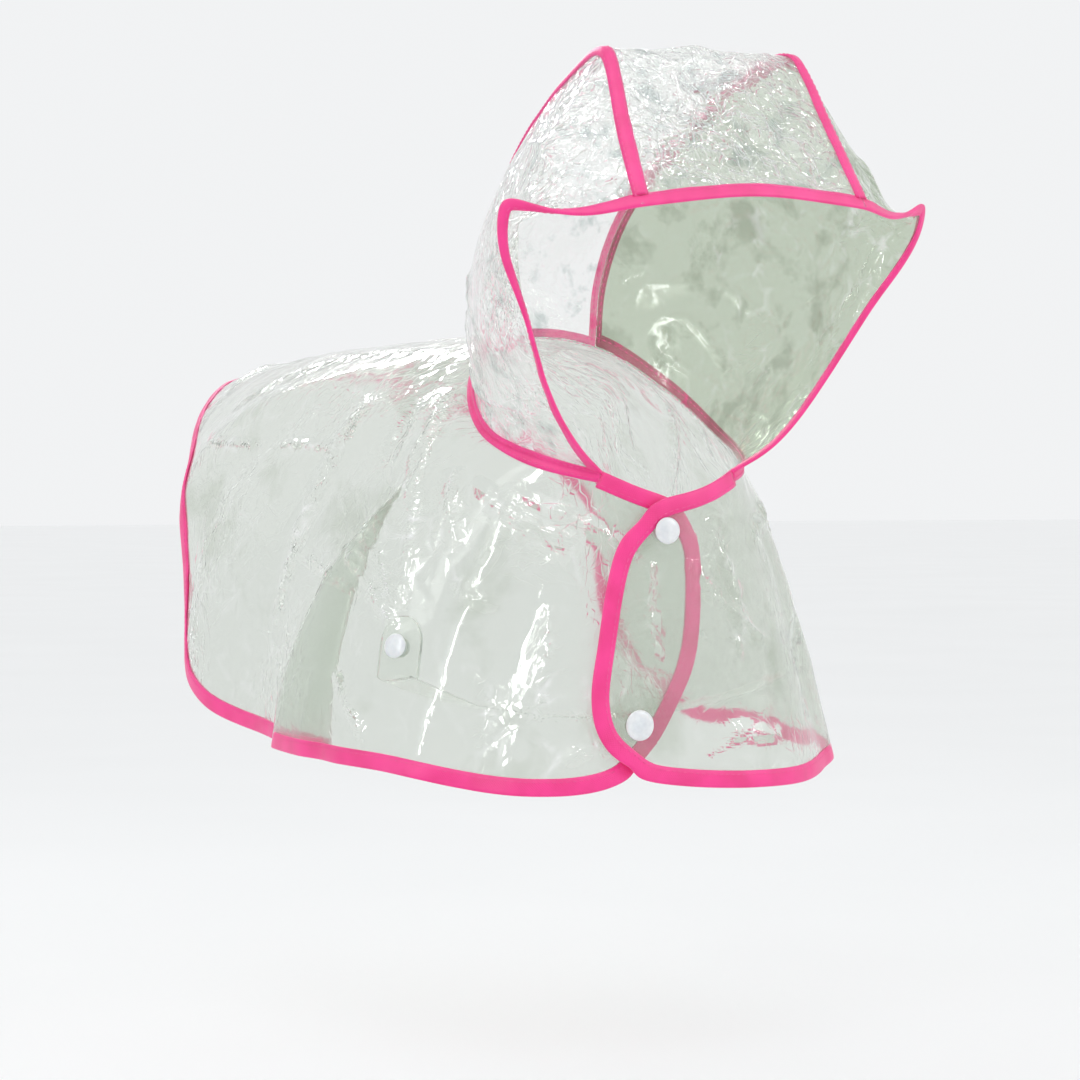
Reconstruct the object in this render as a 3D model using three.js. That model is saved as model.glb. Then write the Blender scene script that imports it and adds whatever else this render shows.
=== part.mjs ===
// Clear hooded pet raincoat, worn: a film cape whose two front flaps overlap on the chest, a three-panel
// hood, binding tape on every edge and seam, press snaps and a belly strap. Millimetres, +Z up.
// The origin is the nape, where the neck seam crosses the spine. The wearer faces -Y, its left is +X.
import * as THREE from 'three';

// Thicknesses and widths
const filmWall = 1.2;
const gap = 0.3;
const tapeWall = 0.8;
const edgeTapeWidth = 7.5;
const faceTapeWidth = 6;
const neckTapeHalf = 5;
const seamTapeHalf = 3.6;
const flapLift = 5.2;

// Neck seam: an ellipse in plan, low at the throat and rising to the nape
const neckHalfWidth = 66;
const neckHalfLength = 70;
const hoodEnd = 31;
const gussetStart = 155;
const neckHeights = [
  { at: 0, z: -78 },
  { at: 30, z: -73 },
  { at: 60, z: -65 },
  { at: 90, z: -53 },
  { at: 120, z: -29 },
  { at: 150, z: -7 },
  { at: 180, z: 0 },
];

// Outer edge of the cape on one side, at degrees round the neck from the front middle to the spine
const capeOutline = [
  { at: 0, x: 0, y: -140, z: -227 },
  { at: 20, x: 45, y: -139, z: -229 },
  { at: 35, x: 79, y: -128, z: -229 },
  { at: 48, x: 105, y: -108, z: -225 },
  { at: 60, x: 123, y: -83, z: -220 },
  { at: 74, x: 134, y: -38, z: -217 },
  { at: 90, x: 137, y: 18, z: -215 },
  { at: 104, x: 138, y: 78, z: -212 },
  { at: 113, x: 139, y: 126, z: -203 },
  { at: 120, x: 138, y: 165, z: -183 },
  { at: 126, x: 137, y: 183, z: -155 },
  { at: 132, x: 135, y: 191, z: -122 },
  { at: 140, x: 130, y: 203, z: -86 },
  { at: 149, x: 113, y: 236, z: -56 },
  { at: 159, x: 82, y: 281, z: -30 },
  { at: 169, x: 42, y: 326, z: -14 },
  { at: 180, x: 0, y: 343, z: -9 },
];

// How a line of the cape runs from neck to edge: spread first and fall late over the back
const capeRun = [
  { at: 0, spread: 1, fall: 1, lift: 0 },
  { at: 50, spread: 1.05, fall: 1.05, lift: 0 },
  { at: 80, spread: 1.5, fall: 1.45, lift: 3 },
  { at: 110, spread: 1.75, fall: 1.9, lift: 5 },
  { at: 140, spread: 1.6, fall: 2, lift: 5 },
  { at: 180, spread: 1.1, fall: 1.3, lift: 7 },
];

// Free edge of each front flap: degrees past the front middle, at a share of the way down
const flapEdges = {
  right: [
    { down: 0.13, over: 7 },
    { down: 0.2, over: 10.5 },
    { down: 0.36, over: 10 },
    { down: 0.52, over: 8 },
    { down: 0.62, over: 5.5 },
    { down: 0.73, over: 1 },
    { down: 0.85, over: -4.5 },
    { down: 0.93, over: -10 },
  ],
  left: [
    { down: 0.13, over: 14 },
    { down: 0.2, over: 20 },
    { down: 0.32, over: 22.5 },
    { down: 0.54, over: 23 },
    { down: 0.68, over: 23 },
    { down: 0.79, over: 21 },
    { down: 0.87, over: 17 },
    { down: 0.93, over: 11 },
  ],
};
// Throat edge of each flap, from the end of the neck seam to the flap's upper corner
const throatEdges = {
  right: [
    { over: -31, down: 0 },
    { over: -17, down: 0.024 },
    { over: -3, down: 0.05 },
    { over: 3, down: 0.08 },
    { over: 7, down: 0.13 },
  ],
  left: [
    { over: -31, down: 0 },
    { over: -14, down: 0.024 },
    { over: 3, down: 0.05 },
    { over: 10, down: 0.08 },
    { over: 14, down: 0.13 },
  ],
};
const cornerUp = 0.13;
const cornerDown = 0.93;
const cornerDegrees = 17;
const frontZone = 60;
const firstColumn = 10;
const lastColumn = 371;

// Soft radial folds of the cape: depth outwards in mm, width in degrees, where they start and fade in
const folds = [
  { at: 44, width: 8, depth: -3, from: 0.1 },
  { at: 56, width: 8, depth: 4, from: 0.05 },
  { at: 77, width: 6, depth: -3, from: 0.05 },
  { at: 106, width: 9, depth: -4.5, from: 0.1 },
  { at: 118, width: 9, depth: 4, from: 0.2 },
  { at: 146, width: 10, depth: -3.5, from: 0.15 },
  { at: 163, width: 9, depth: 2.5, from: 0.25 },
  { at: 198, width: 10, depth: 2.5, from: 0.25 },
  { at: 216, width: 10, depth: -3.5, from: 0.15 },
  { at: 241, width: 9, depth: 4, from: 0.2 },
  { at: 255, width: 9, depth: -4.5, from: 0.1 },
  { at: 269, width: 9, depth: 3.5, from: 0.1 },
  { at: 282, width: 7, depth: -4, from: 0.05 },
  { at: 304, width: 8, depth: 3.5, from: 0.05 },
];

// Pleat folded back on itself down the wearer's right flank
const pleat = { from: 80, to: 94, shift: 9.5, height: 18, ease: 26, start: 0.14 };
// Where the edge at each rear corner tucks in behind the film
const tuck = { at: 128, width: 14, depth: 3.5, from: 0.7 };

// Hood seam between the side and the middle panel, from the neck over the crown to the brim
const hoodSeam = [
  { x: 27.9, y: -6.6, z: -4.8 },
  { x: 31, y: -5, z: 28 },
  { x: 36, y: -17, z: 60 },
  { x: 42, y: -47, z: 88 },
  { x: 47, y: -93, z: 112 },
  { x: 50, y: -135, z: 127 },
  { x: 52, y: -158, z: 132 },
  { x: 53, y: -168, z: 129 },
  { x: 57, y: -190, z: 95 },
  { x: 61, y: -217, z: 53 },
];
// Face opening from the neck seam up to the brim corner
const faceEdge = [
  { x: 34, y: -130, z: -73 },
  { x: 51, y: -140, z: -62 },
  { x: 65, y: -146, z: -47 },
  { x: 77, y: -152, z: -29 },
  { x: 88, y: -160, z: -9 },
  { x: 99, y: -167, z: 10 },
  { x: 111, y: -174, z: 28 },
  { x: 117, y: -179.5, z: 42 },
  { x: 118, y: -184, z: 59 },
];
// Brim from the seam out to the corner, and from seam to seam
const brimSide = [
  { x: 61, y: -217, z: 53 },
  { x: 88, y: -203, z: 49 },
  { x: 118, y: -184, z: 59 },
];
const brimCrest = { y: -221, z: 58 };
const sideBulge = 8.5;
const gussetBulge = -4; // inwards, so that the crown runs nearly straight between the seams
// The hood sits a little tilted: its left side stands higher, growing from the neck to the brim
const hoodTilt = { rise: 0.03, shift: 2, from: -70, to: 60 };

// Press snaps
const snapCap = { radius: 6.2, rim: 0.8, height: 2 };
const snapPost = 1.9;
const snapStud = 4.2;
const snapBack = { radius: 5, height: 1 };
const chestSnaps = [
  { name: 'upper', over: 4.5, down: 0.155, seat: 1.1, radius: 6.6 },
  { name: 'lower', over: 10.5, down: 0.79, seat: 0, radius: 7.6 },
];
const flankSnap = { at: 67, down: 0.69 };
const strap = { width: 25, wall: 1.2, inside: 4.8, overrun: 16, back: -62, dip: -198, steps: 26 };

// Mesh density
const capeRows = 14;
const sideColumns = 11;
const sideRows = 14;
const gussetColumns = 6;
const snapSides = 14;
// Ends of the tapes: angles kept free at the neck seam's ends, room between a tape's end and its neighbour
const neckTapeClear = 9;
const throatClear = 3;
const endClear = 0.4;
const neckTapeRoom = 0.5;
const foldRoom = 0.55;
const snapRoom = 0.5;
// Past this angle the inner side of the hem tape lies straight above the hem
const plainFrom = 34;

const rad = Math.PI / 180;

// Smooth rise from 0 to 1
function ease(t) {
  const s = Math.min(1, Math.max(0, t));
  return s * s * (3 - 2 * s);
}

// Reads a table smoothly: a cubic through its rows, by the column named key
function reader(rows, key, name) {
  return (t) => {
    let k = 0;
    while (k < rows.length - 2 && t > rows[k + 1][key]) k += 1;
    const a = rows[k];
    const b = rows[k + 1];
    const before = rows[Math.max(0, k - 1)];
    const after = rows[Math.min(rows.length - 1, k + 2)];
    const span = b[key] - a[key];
    const slopeA = (b[name] - before[name]) / (b[key] - before[key]);
    const slopeB = (after[name] - a[name]) / (after[key] - a[key]);
    const s = Math.min(1, Math.max(0, (t - a[key]) / span));
    const h = s * s * (3 - 2 * s);
    const bendA = s * (1 - s) * (1 - s) * slopeA * span;
    const bendB = s * s * (s - 1) * slopeB * span;
    return a[name] * (1 - h) + b[name] * h + bendA + bendB;
  };
}

// Repeats a half table on both sides of the front and the spine, so that it joins without a kink
function mirrored(rows, oddNames) {
  const flip = (row, at) => {
    const copy = { ...row, at };
    for (const name of oddNames) copy[name] = -row[name];
    return copy;
  };
  const front = rows.slice(1, 4).reverse().map((row) => flip(row, -row.at));
  const back = rows.slice(-4, -1).reverse().map((row) => flip(row, 360 - row.at));
  return [...front, ...rows, ...back];
}

// Half-plan tables read at any angle: 0 is the front middle, up to 180 is the wearer's right
function roundReader(rows, name, odd) {
  const read = reader(mirrored(rows, odd ? [name] : []), 'at', name);
  return (degrees) => {
    if (degrees <= 180) return read(degrees);
    return (odd ? -1 : 1) * read(360 - degrees);
  };
}

const neckZ = roundReader(neckHeights, 'z', false);
const edgeX = roundReader(capeOutline, 'x', true);
const edgeY = roundReader(capeOutline, 'y', false);
const edgeZ = roundReader(capeOutline, 'z', false);
const runSpread = roundReader(capeRun, 'spread', false);
const runFall = roundReader(capeRun, 'fall', false);
const runLift = roundReader(capeRun, 'lift', false);

// The left front lies over the right one, so it stands out by the flap's lift
function liftAt(degrees) {
  return flapLift * ease((degrees - 290) / 42);
}

function neckBase(degrees) {
  return new THREE.Vector3(
    -neckHalfWidth * Math.sin(degrees * rad),
    -neckHalfLength - neckHalfLength * Math.cos(degrees * rad),
    neckZ(degrees),
  );
}

// The cape without folds
function capeBase(degrees, down) {
  const neck = neckBase(degrees);
  const out = 1 - (1 - down) ** runSpread(degrees);
  const fall = down ** runFall(degrees);
  const lift = runLift(degrees) * Math.sin(Math.PI * down) * (1 - 0.4 * down);
  return new THREE.Vector3(
    neck.x + (-edgeX(degrees) - neck.x) * out,
    neck.y + (edgeY(degrees) - neck.y) * out,
    neck.z + (edgeZ(degrees) - neck.z) * fall + lift,
  );
}

// Outward normal of a surface given by two values
function normalOf(surface, a, b, stepA, stepB) {
  const b0 = Math.max(0, b - stepB);
  const b1 = Math.min(1, b + stepB);
  const alongA = surface(a + stepA, b).sub(surface(a - stepA, b));
  const alongB = surface(a, b1).sub(surface(a, b0));
  return alongA.cross(alongB).normalize();
}

function foldHeight(degrees, down) {
  let height = 0;
  for (const fold of folds) {
    const t = Math.abs(degrees - fold.at) / fold.width;
    if (t < 1) height += fold.depth * ease(1 - t) * ease((down - fold.from) / 0.5);
  }
  const corner = Math.abs(Math.min(degrees, 360 - degrees) - tuck.at) / tuck.width;
  if (corner < 1) height -= tuck.depth * ease(1 - corner) * ease((down - tuck.from) / (1 - tuck.from));
  return height;
}

// The pleat's angle and height at a column's nominal angle
function pleatAt(nominal, down) {
  const span = pleat.to - pleat.from;
  const t = (nominal - pleat.from) / span;
  const grow = Math.max(0, (down - pleat.start) / (1 - pleat.start));
  const rise = ease(grow / 0.6);
  let height = 0;
  if (t < 0) height = 0.5 * ease(1 + (t * span) / pleat.ease);
  if (t >= 0 && t <= 1) height = 0.5 * Math.cos(Math.PI * t);
  if (t > 1) height = -0.5 * ease(1 - ((t - 1) * span) / pleat.ease);
  const shift = t > 0 && t < 1 ? pleat.shift * Math.sin(2 * Math.PI * t) * grow : 0;
  return { degrees: nominal + shift, height: pleat.height * height * rise };
}

// Middle of the cape's film at a nominal angle and a share of the way down
function capeSurface(nominal, down) {
  const { degrees, height } = pleatAt(nominal, down);
  const normal = normalOf(capeBase, degrees, down, 0.5, 0.004);
  const out = height + foldHeight(degrees, down) + liftAt(nominal);
  return capeBase(degrees, down).addScaledVector(normal, out);
}

function neckPoint(degrees) {
  return capeSurface(degrees, 0);
}

function capeNormal(nominal, down) {
  return normalOf(capeSurface, nominal, down, 0.25, 0.003);
}

// Point at a distance from another one in the surface, square to the way the edge runs
function inwardPoint(nominal, down, along, distance) {
  const here = capeSurface(nominal, down);
  const perDegree = capeSurface(nominal + 0.1, down).sub(here).multiplyScalar(10);
  const step = down > 0.5 ? -0.002 : 0.002;
  const perDown = capeSurface(nominal, down + step).sub(here).divideScalar(step);
  const normal = capeNormal(nominal, down);
  const want = along.clone().cross(normal).normalize().multiplyScalar(distance);
  const aa = perDegree.dot(perDegree);
  const ab = perDegree.dot(perDown);
  const bb = perDown.dot(perDown);
  const wantA = want.dot(perDegree);
  const wantB = want.dot(perDown);
  const det = aa * bb - ab * ab;
  const stepDegrees = (wantA * bb - wantB * ab) / det;
  const stepDown = (wantB * aa - wantA * ab) / det;
  return { at: nominal + stepDegrees, down: Math.min(1, Math.max(0, down + stepDown)) };
}

// Lowest share of the way down at a column, less than 1 where the flap corners are rounded off
function bottomOf(column) {
  const t = Math.min((column - firstColumn) / cornerDegrees, (lastColumn - column) / (cornerDegrees + 4));
  if (t >= 1) return 1;
  return cornerDown + (1 - cornerDown) * Math.sqrt(1 - (1 - Math.max(0, t)) ** 2);
}

const rightFlap = reader(flapEdges.right, 'down', 'over');
const leftFlap = reader(flapEdges.left, 'down', 'over');
const rightThroat = reader(throatEdges.right, 'over', 'down');
const leftThroat = reader(throatEdges.left, 'over', 'down');

// Angle of a column at a share of the way down: the columns near the front follow the flap edge
function angleOf(column, down) {
  const at = Math.min(cornerDown, Math.max(cornerUp, down));
  if (column < frontZone) {
    const share = (column - frontZone) / (frontZone - firstColumn);
    return frontZone + share * (frontZone + rightFlap(at));
  }
  const leftZone = 360 - frontZone;
  if (column > leftZone) {
    const share = (column - leftZone) / (lastColumn - leftZone);
    return leftZone + share * (frontZone + leftFlap(at));
  }
  return column;
}

// Column that starts at an angle of the neck
function columnAt(angle) {
  if (angle < frontZone) {
    return frontZone + ((angle - frontZone) * (frontZone - firstColumn)) / (frontZone + rightFlap(cornerUp));
  }
  const leftZone = 360 - frontZone;
  return leftZone + ((angle - leftZone) * (lastColumn - leftZone)) / (frontZone + leftFlap(cornerUp));
}
const throatColumns = { right: columnAt(hoodEnd), left: columnAt(360 - hoodEnd) };

// Highest share of the way down at a column: 0 at the neck seam, more along the throat edges
function topOf(column) {
  const angle = angleOf(column, 0);
  if (column < throatColumns.right) return rightThroat(-angle);
  if (column > throatColumns.left) return leftThroat(angle - 360);
  return 0;
}

// Nominal angles of the cape's columns at the hem, closer in the pleat and at the flap corners
function capeColumns() {
  const list = [];
  const addSpan = (from, to, count) => {
    for (let k = 0; k < count; k += 1) list.push(from + ((to - from) * k) / count);
  };
  addSpan(firstColumn, 18, 3);
  addSpan(18, throatColumns.right, 5);
  addSpan(throatColumns.right, flankSnap.at, 7);
  addSpan(flankSnap.at, 80, 4);
  addSpan(80, 94, 14);
  addSpan(94, 116, 6);
  addSpan(116, 140, 9);
  addSpan(140, 150, 2);
  addSpan(150, 210, 11);
  addSpan(210, 220, 2);
  addSpan(220, 244, 9);
  addSpan(244, throatColumns.left, 19);
  addSpan(throatColumns.left, 362, 8);
  addSpan(362, lastColumn, 3);
  list.push(lastColumn);
  return list;
}

// Places of the cape's grid: the rows and columns next to the outline lie at the tapes' inner sides
function capePlaces(columns) {
  const end = columns.length - 1;
  const places = columns.map((column) => {
    const top = topOf(column);
    const bottom = bottomOf(column);
    const list = [];
    for (let j = 0; j <= capeRows; j += 1) {
      const share = Math.min(0.97, Math.max(0.03, (j - 0.5) / (capeRows - 1)));
      const down = top + (bottom - top) * (j === 0 ? 0 : j === capeRows ? 1 : share);
      list.push({ at: angleOf(column, down), down });
    }
    return list;
  });
  const pointAt = ({ at, down }) => capeSurface(at, down);
  const inside = (here, before, after, distance) => {
    return inwardPoint(here.at, here.down, pointAt(after).sub(pointAt(before)), distance);
  };
  const straight = (i, from, to, distance) => {
    const at = columns[i];
    const a = capeSurface(at, from);
    const b = capeSurface(at, to);
    const along = capeSurface(at + 0.3, from).sub(capeSurface(at - 0.3, from)).normalize();
    const step = b.clone().sub(a);
    const square = step.clone().addScaledVector(along, -step.dot(along)).length();
    return { at, down: from + ((to - from) * Math.min(distance, 3 * square)) / square };
  };
  const border = [];
  for (let j = 2; j < capeRows - 1; j += 1) {
    for (const [i, m, way] of [[0, 1, 1], [end, end - 1, -1]]) {
      border.push([m, j, inside(places[i][j], places[i][j - way], places[i][j + way], edgeTapeWidth)]);
    }
  }
  for (let i = 2; i < end - 1; i += 1) {
    const onThroat = columns[i] <= throatColumns.right || columns[i] >= throatColumns.left;
    const top = onThroat
      ? inside(places[i][0], places[i + 1][0], places[i - 1][0], edgeTapeWidth)
      : straight(i, 0, 0.03, neckTapeHalf);
    const plain = columns[i] > plainFrom && columns[i] < 360 - plainFrom;
    const low = plain
      ? straight(i, 1, 0.97, edgeTapeWidth)
      : inside(places[i][capeRows], places[i - 1][capeRows], places[i + 1][capeRows], edgeTapeWidth);
    border.push([i, 1, top], [i, capeRows - 1, low]);
  }
  const corners = [
    [0, 0, 1, 1, [1, 0], [0, 1]],
    [0, capeRows, 1, capeRows - 1, [0, capeRows - 1], [1, capeRows]],
    [end, capeRows, end - 1, capeRows - 1, [end - 1, capeRows], [end, capeRows - 1]],
    [end, 0, end - 1, 1, [end, 1], [end - 1, 0]],
  ];
  for (const [i, j, m, n, before, after] of corners) {
    const a = places[before[0]][before[1]];
    const b = places[after[0]][after[1]];
    border.push([m, n, inside(places[i][j], a, b, edgeTapeWidth)]);
  }
  for (const [i, j, place] of border) places[i][j] = place;
  for (let i = 2; i < end - 1; i += 1) {
    const [high, low] = [places[i][1], places[i][capeRows - 1]];
    const [offHigh, offLow] = [high, low].map(({ at, down }) => at - angleOf(columns[i], down));
    for (let j = 2; j < capeRows - 1; j += 1) {
      const share = (j - 1) / (capeRows - 2);
      const down = high.down + (low.down - high.down) * share;
      places[i][j] = { at: angleOf(columns[i], down) + offHigh + (offLow - offHigh) * share, down };
    }
  }
  return places;
}

// Sides of a closed mesh from rings of points. The quads of the strips named in turned are split the other way
function fromRings(rings, turned) {
  const size = rings[0].length;
  const positions = [];
  const index = [];
  for (const ring of rings) {
    for (const p of ring) positions.push(p.x, p.y, p.z);
  }
  for (let i = 0; i < rings.length - 1; i += 1) {
    for (let k = 0; k < size; k += 1) {
      const a = i * size + k;
      const b = i * size + ((k + 1) % size);
      if (turned.includes(k)) index.push(a, b, b + size, a, b + size, a + size);
      else index.push(a, b, a + size, b, b + size, a + size);
    }
  }
  return { positions, index, size };
}

function finish(positions, index) {
  const geometry = new THREE.BufferGeometry();
  geometry.setAttribute('position', new THREE.Float32BufferAttribute(positions, 3));
  geometry.setIndex(index);
  let volume = 0;
  for (let i = 0; i < index.length; i += 3) {
    const [a, b, c] = [index[i], index[i + 1], index[i + 2]].map(
      (k) => new THREE.Vector3(positions[3 * k], positions[3 * k + 1], positions[3 * k + 2]),
    );
    volume += a.dot(b.cross(c));
  }
  if (volume < 0) {
    for (let i = 0; i < index.length; i += 3) [index[i], index[i + 1]] = [index[i + 1], index[i]];
    geometry.setIndex(index);
  }
  geometry.computeVertexNormals();
  return geometry;
}

// A wall of even thickness about a grid. turned says which quads are split the other way
function wallGeometry(grid, thickness, turned) {
  const columns = grid.points.length;
  const rows = grid.points[0].length;
  const positions = [];
  const index = [];
  for (const side of [0.5, -0.5]) {
    for (let i = 0; i < columns; i += 1) {
      for (let j = 0; j < rows; j += 1) {
        const p = grid.points[i][j].clone().addScaledVector(grid.normals[i][j], side * thickness);
        positions.push(p.x, p.y, p.z);
      }
    }
  }
  const at = (i, j, side) => side * columns * rows + i * rows + j;
  for (let i = 0; i < columns - 1; i += 1) {
    for (let j = 0; j < rows - 1; j += 1) {
      const [a, b, c, d] = [at(i, j, 0), at(i + 1, j, 0), at(i + 1, j + 1, 0), at(i, j + 1, 0)];
      const [e, f, g, h] = [at(i, j, 1), at(i + 1, j, 1), at(i + 1, j + 1, 1), at(i, j + 1, 1)];
      if (turned(i, j, columns - 2, rows - 2)) index.push(a, b, d, b, c, d, e, h, f, f, h, g);
      else index.push(a, b, c, a, c, d, e, g, f, e, h, g);
    }
  }
  const rim = [];
  for (let i = 0; i < columns - 1; i += 1) rim.push([i, 0]);
  for (let j = 0; j < rows - 1; j += 1) rim.push([columns - 1, j]);
  for (let i = columns - 1; i > 0; i -= 1) rim.push([i, rows - 1]);
  for (let j = rows - 1; j > 0; j -= 1) rim.push([0, j]);
  for (let k = 0; k < rim.length; k += 1) {
    const [i, j] = rim[k];
    const [m, n] = rim[(k + 1) % rim.length];
    index.push(at(i, j, 0), at(i, j, 1), at(m, n, 1), at(i, j, 0), at(m, n, 1), at(m, n, 0));
  }
  return finish(positions, index);
}

// A sweep of sections, closed at both ends by the given faces
function sweepGeometry(rings, capFaces, turned = []) {
  const { positions, index, size } = fromRings(rings, turned);
  const end = (rings.length - 1) * size;
  for (const [a, b, c] of capFaces) {
    index.push(a, c, b);
    index.push(end + a, end + b, end + c);
  }
  return finish(positions, index);
}

// Tape folded round an edge: steps hold the edge point, the inner point and the normal at each
function foldedTape(steps) {
  const inside = filmWall / 2 + foldRoom;
  const outside = inside + tapeWall;
  const rings = steps.map(({ edge, inner, edgeNormal, innerNormal }) => {
    const out = edge.clone().sub(inner).normalize();
    const rim = edge.clone().addScaledVector(out, foldRoom);
    const tip = edge.clone().addScaledVector(out, foldRoom + tapeWall);
    return [
      inner.clone().addScaledVector(innerNormal, outside),
      rim.clone().addScaledVector(edgeNormal, outside),
      tip.clone().addScaledVector(edgeNormal, 0.4 * outside),
      tip.clone().addScaledVector(edgeNormal, -0.4 * outside),
      rim.clone().addScaledVector(edgeNormal, -outside),
      inner.clone().addScaledVector(innerNormal, -outside),
      inner.clone().addScaledVector(innerNormal, -inside),
      rim.clone().addScaledVector(edgeNormal, -inside),
      rim.clone().addScaledVector(edgeNormal, inside),
      inner.clone().addScaledVector(innerNormal, inside),
    ];
  });
  const cap = [
    [0, 1, 8],
    [0, 8, 9],
    [1, 2, 8],
    [2, 3, 8],
    [3, 7, 8],
    [3, 4, 7],
    [4, 5, 6],
    [4, 6, 7],
  ];
  return sweepGeometry(rings, cap, [0, 6, 7]);
}

// Tape laid flat over a seam: each step is a line of three points with normals, from side to side
function flatTape(steps, room) {
  const inside = filmWall / 2 + room;
  const outside = inside + tapeWall;
  const rings = steps.map((step) => {
    const lower = step.map(({ point, normal }) => point.clone().addScaledVector(normal, inside));
    const upper = step.map(({ point, normal }) => point.clone().addScaledVector(normal, outside));
    return [...upper, ...lower.reverse()];
  });
  const cap = [
    [0, 1, 4],
    [0, 4, 5],
    [1, 2, 3],
    [1, 3, 4],
  ];
  return sweepGeometry(rings, cap);
}

// A curve through table rows, read by share of its length
function lineThrough(rows, side) {
  const points = rows.map(({ x, y, z }) => {
    const share = ease((z - hoodTilt.from) / (hoodTilt.to - hoodTilt.from));
    return new THREE.Vector3(side * x + hoodTilt.shift * share, y, z + hoodTilt.rise * side * x * share);
  });
  const curve = new THREE.CatmullRomCurve3(points, false, 'centripetal');
  curve.arcLengthDivisions = 400;
  return (t) => curve.getPointAt(Math.min(1, Math.max(0, t)));
}

// A patch between four border curves: low and high run across, start and end run up
function patch(low, high, start, end) {
  const c00 = low(0);
  const c10 = low(1);
  const c01 = high(0);
  const c11 = high(1);
  return (u, v) => {
    const across = low(u).multiplyScalar(1 - v).addScaledVector(high(u), v);
    const up = start(v).multiplyScalar(1 - u).addScaledVector(end(v), u);
    const corners = c00.clone().multiplyScalar((1 - u) * (1 - v)).addScaledVector(c10, u * (1 - v));
    corners.addScaledVector(c01, (1 - u) * v).addScaledVector(c11, u * v);
    return across.add(up).sub(corners);
  };
}

// Hood panels. side is -1 on the wearer's right and 1 on its left
function hoodSidePatch(side) {
  const neckAngle = (u) => gussetStart + (hoodEnd - gussetStart) * u;
  const low = (u) => neckPoint(side < 0 ? neckAngle(u) : 360 - neckAngle(u));
  const seam = lineThrough(hoodSeam, side);
  const face = lineThrough(faceEdge, side);
  const brim = lineThrough(brimSide, side);
  const start = (v) => seam(v).addScaledVector(low(0).sub(seam(0)), 1 - v);
  const end = (v) => face(v).addScaledVector(low(1).sub(face(0)), (1 - v) ** 2);
  const base = patch(low, brim, start, end);
  const out = (u, v) => normalOf(base, u, v, 0.01, 0.01).multiplyScalar(-side);
  return (u, v) => {
    const across = Math.sin(Math.PI * Math.min(1, Math.max(0, u))) ** 2;
    const up = Math.sin(Math.PI * Math.min(1, Math.max(0, v))) ** 1.5;
    return base(u, v).addScaledVector(out(u, v), sideBulge * across * up);
  };
}

function gussetPatch() {
  const low = (u) => neckPoint(gussetStart + (360 - 2 * gussetStart) * u);
  const onNeck = (line, foot) => (v) => line(v).addScaledVector(foot.clone().sub(line(0)), 1 - v);
  const right = onNeck(lineThrough(hoodSeam, -1), low(0));
  const left = onNeck(lineThrough(hoodSeam, 1), low(1));
  const crest = new THREE.Vector3(0, brimCrest.y, brimCrest.z);
  const brimCurve = new THREE.CatmullRomCurve3([right(1), crest, left(1)], false, 'centripetal');
  const base = patch(low, (u) => brimCurve.getPointAt(Math.min(1, Math.max(0, u))), right, left);
  const out = (u, v) => normalOf(base, u, v, 0.02, 0.01);
  return (u, v) => {
    const across = Math.sin(Math.PI * Math.min(1, Math.max(0, u)));
    const rise = gussetBulge * across * Math.sin(Math.PI * v);
    return base(u, v).addScaledVector(out(u, v), -rise);
  };
}

// Even shares from 0 to 1, with the second and the last but one at set distances from the ends
function shares(count, length, nearStart, nearEnd) {
  const first = nearStart / length;
  const last = 1 - nearEnd / length;
  const list = [0, first];
  for (let k = 1; k < count - 2; k += 1) list.push(first + ((last - first) * k) / (count - 2));
  list.push(last, 1);
  return list;
}

function lengthOf(line) {
  let total = 0;
  for (let k = 0; k < 60; k += 1) total += line(k / 60).distanceTo(line((k + 1) / 60));
  return total;
}

// Grid of a hood panel, with lines of points at its tapes
function hoodGrid(surface, sign, columnCount, rowCount, borders) {
  const width = (v) => lengthOf((u) => surface(u, v));
  const height = (u) => lengthOf((v) => surface(u, v));
  const uAt = [];
  const vAt = [];
  for (let k = 0; k <= columnCount; k += 1) {
    vAt.push(shares(rowCount, height(k / columnCount), borders.low, borders.high));
  }
  for (let j = 0; j <= rowCount; j += 1) {
    uAt.push(shares(columnCount, width(j / rowCount), borders.start, borders.end));
  }
  const points = [];
  const normals = [];
  for (let i = 0; i <= columnCount; i += 1) {
    points.push([]);
    normals.push([]);
    for (let j = 0; j <= rowCount; j += 1) {
      const u = uAt[j][i];
      const v = vAt[i][j];
      points[i].push(surface(u, v));
      normals[i].push(normalOf(surface, u, v, 0.01, 0.01).multiplyScalar(sign));
    }
  }
  return { points, normals, across: uAt[0] };
}

const surfaces = {
  right: hoodSidePatch(-1),
  left: hoodSidePatch(1),
  centre: gussetPatch(),
};

// The hood's panel above a point of the neck seam, and the place across it
function hoodAbove(degrees) {
  if (degrees < gussetStart) {
    return { surface: surfaces.right, sign: 1, u: (gussetStart - degrees) / (gussetStart - hoodEnd) };
  }
  if (degrees > 360 - gussetStart) {
    const u = (degrees - 360 + gussetStart) / (gussetStart - hoodEnd);
    return { surface: surfaces.left, sign: -1, u };
  }
  return { surface: surfaces.centre, sign: -1, u: (degrees - gussetStart) / (360 - 2 * gussetStart) };
}

// Normal shared by the cape and the hood along the neck seam
function neckNormal(degrees) {
  const normal = capeNormal(degrees, 0);
  if (degrees < hoodEnd || degrees > 360 - hoodEnd) return normal;
  const { surface, sign, u } = hoodAbove(degrees);
  return normal.add(normalOf(surface, u, 0, 0.01, 0.01).multiplyScalar(sign)).normalize();
}

function neckAngle(panel, u) {
  if (panel === 'right') return gussetStart + (hoodEnd - gussetStart) * u;
  if (panel === 'left') return 360 - gussetStart - (hoodEnd - gussetStart) * u;
  return gussetStart + (360 - 2 * gussetStart) * u;
}

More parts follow.
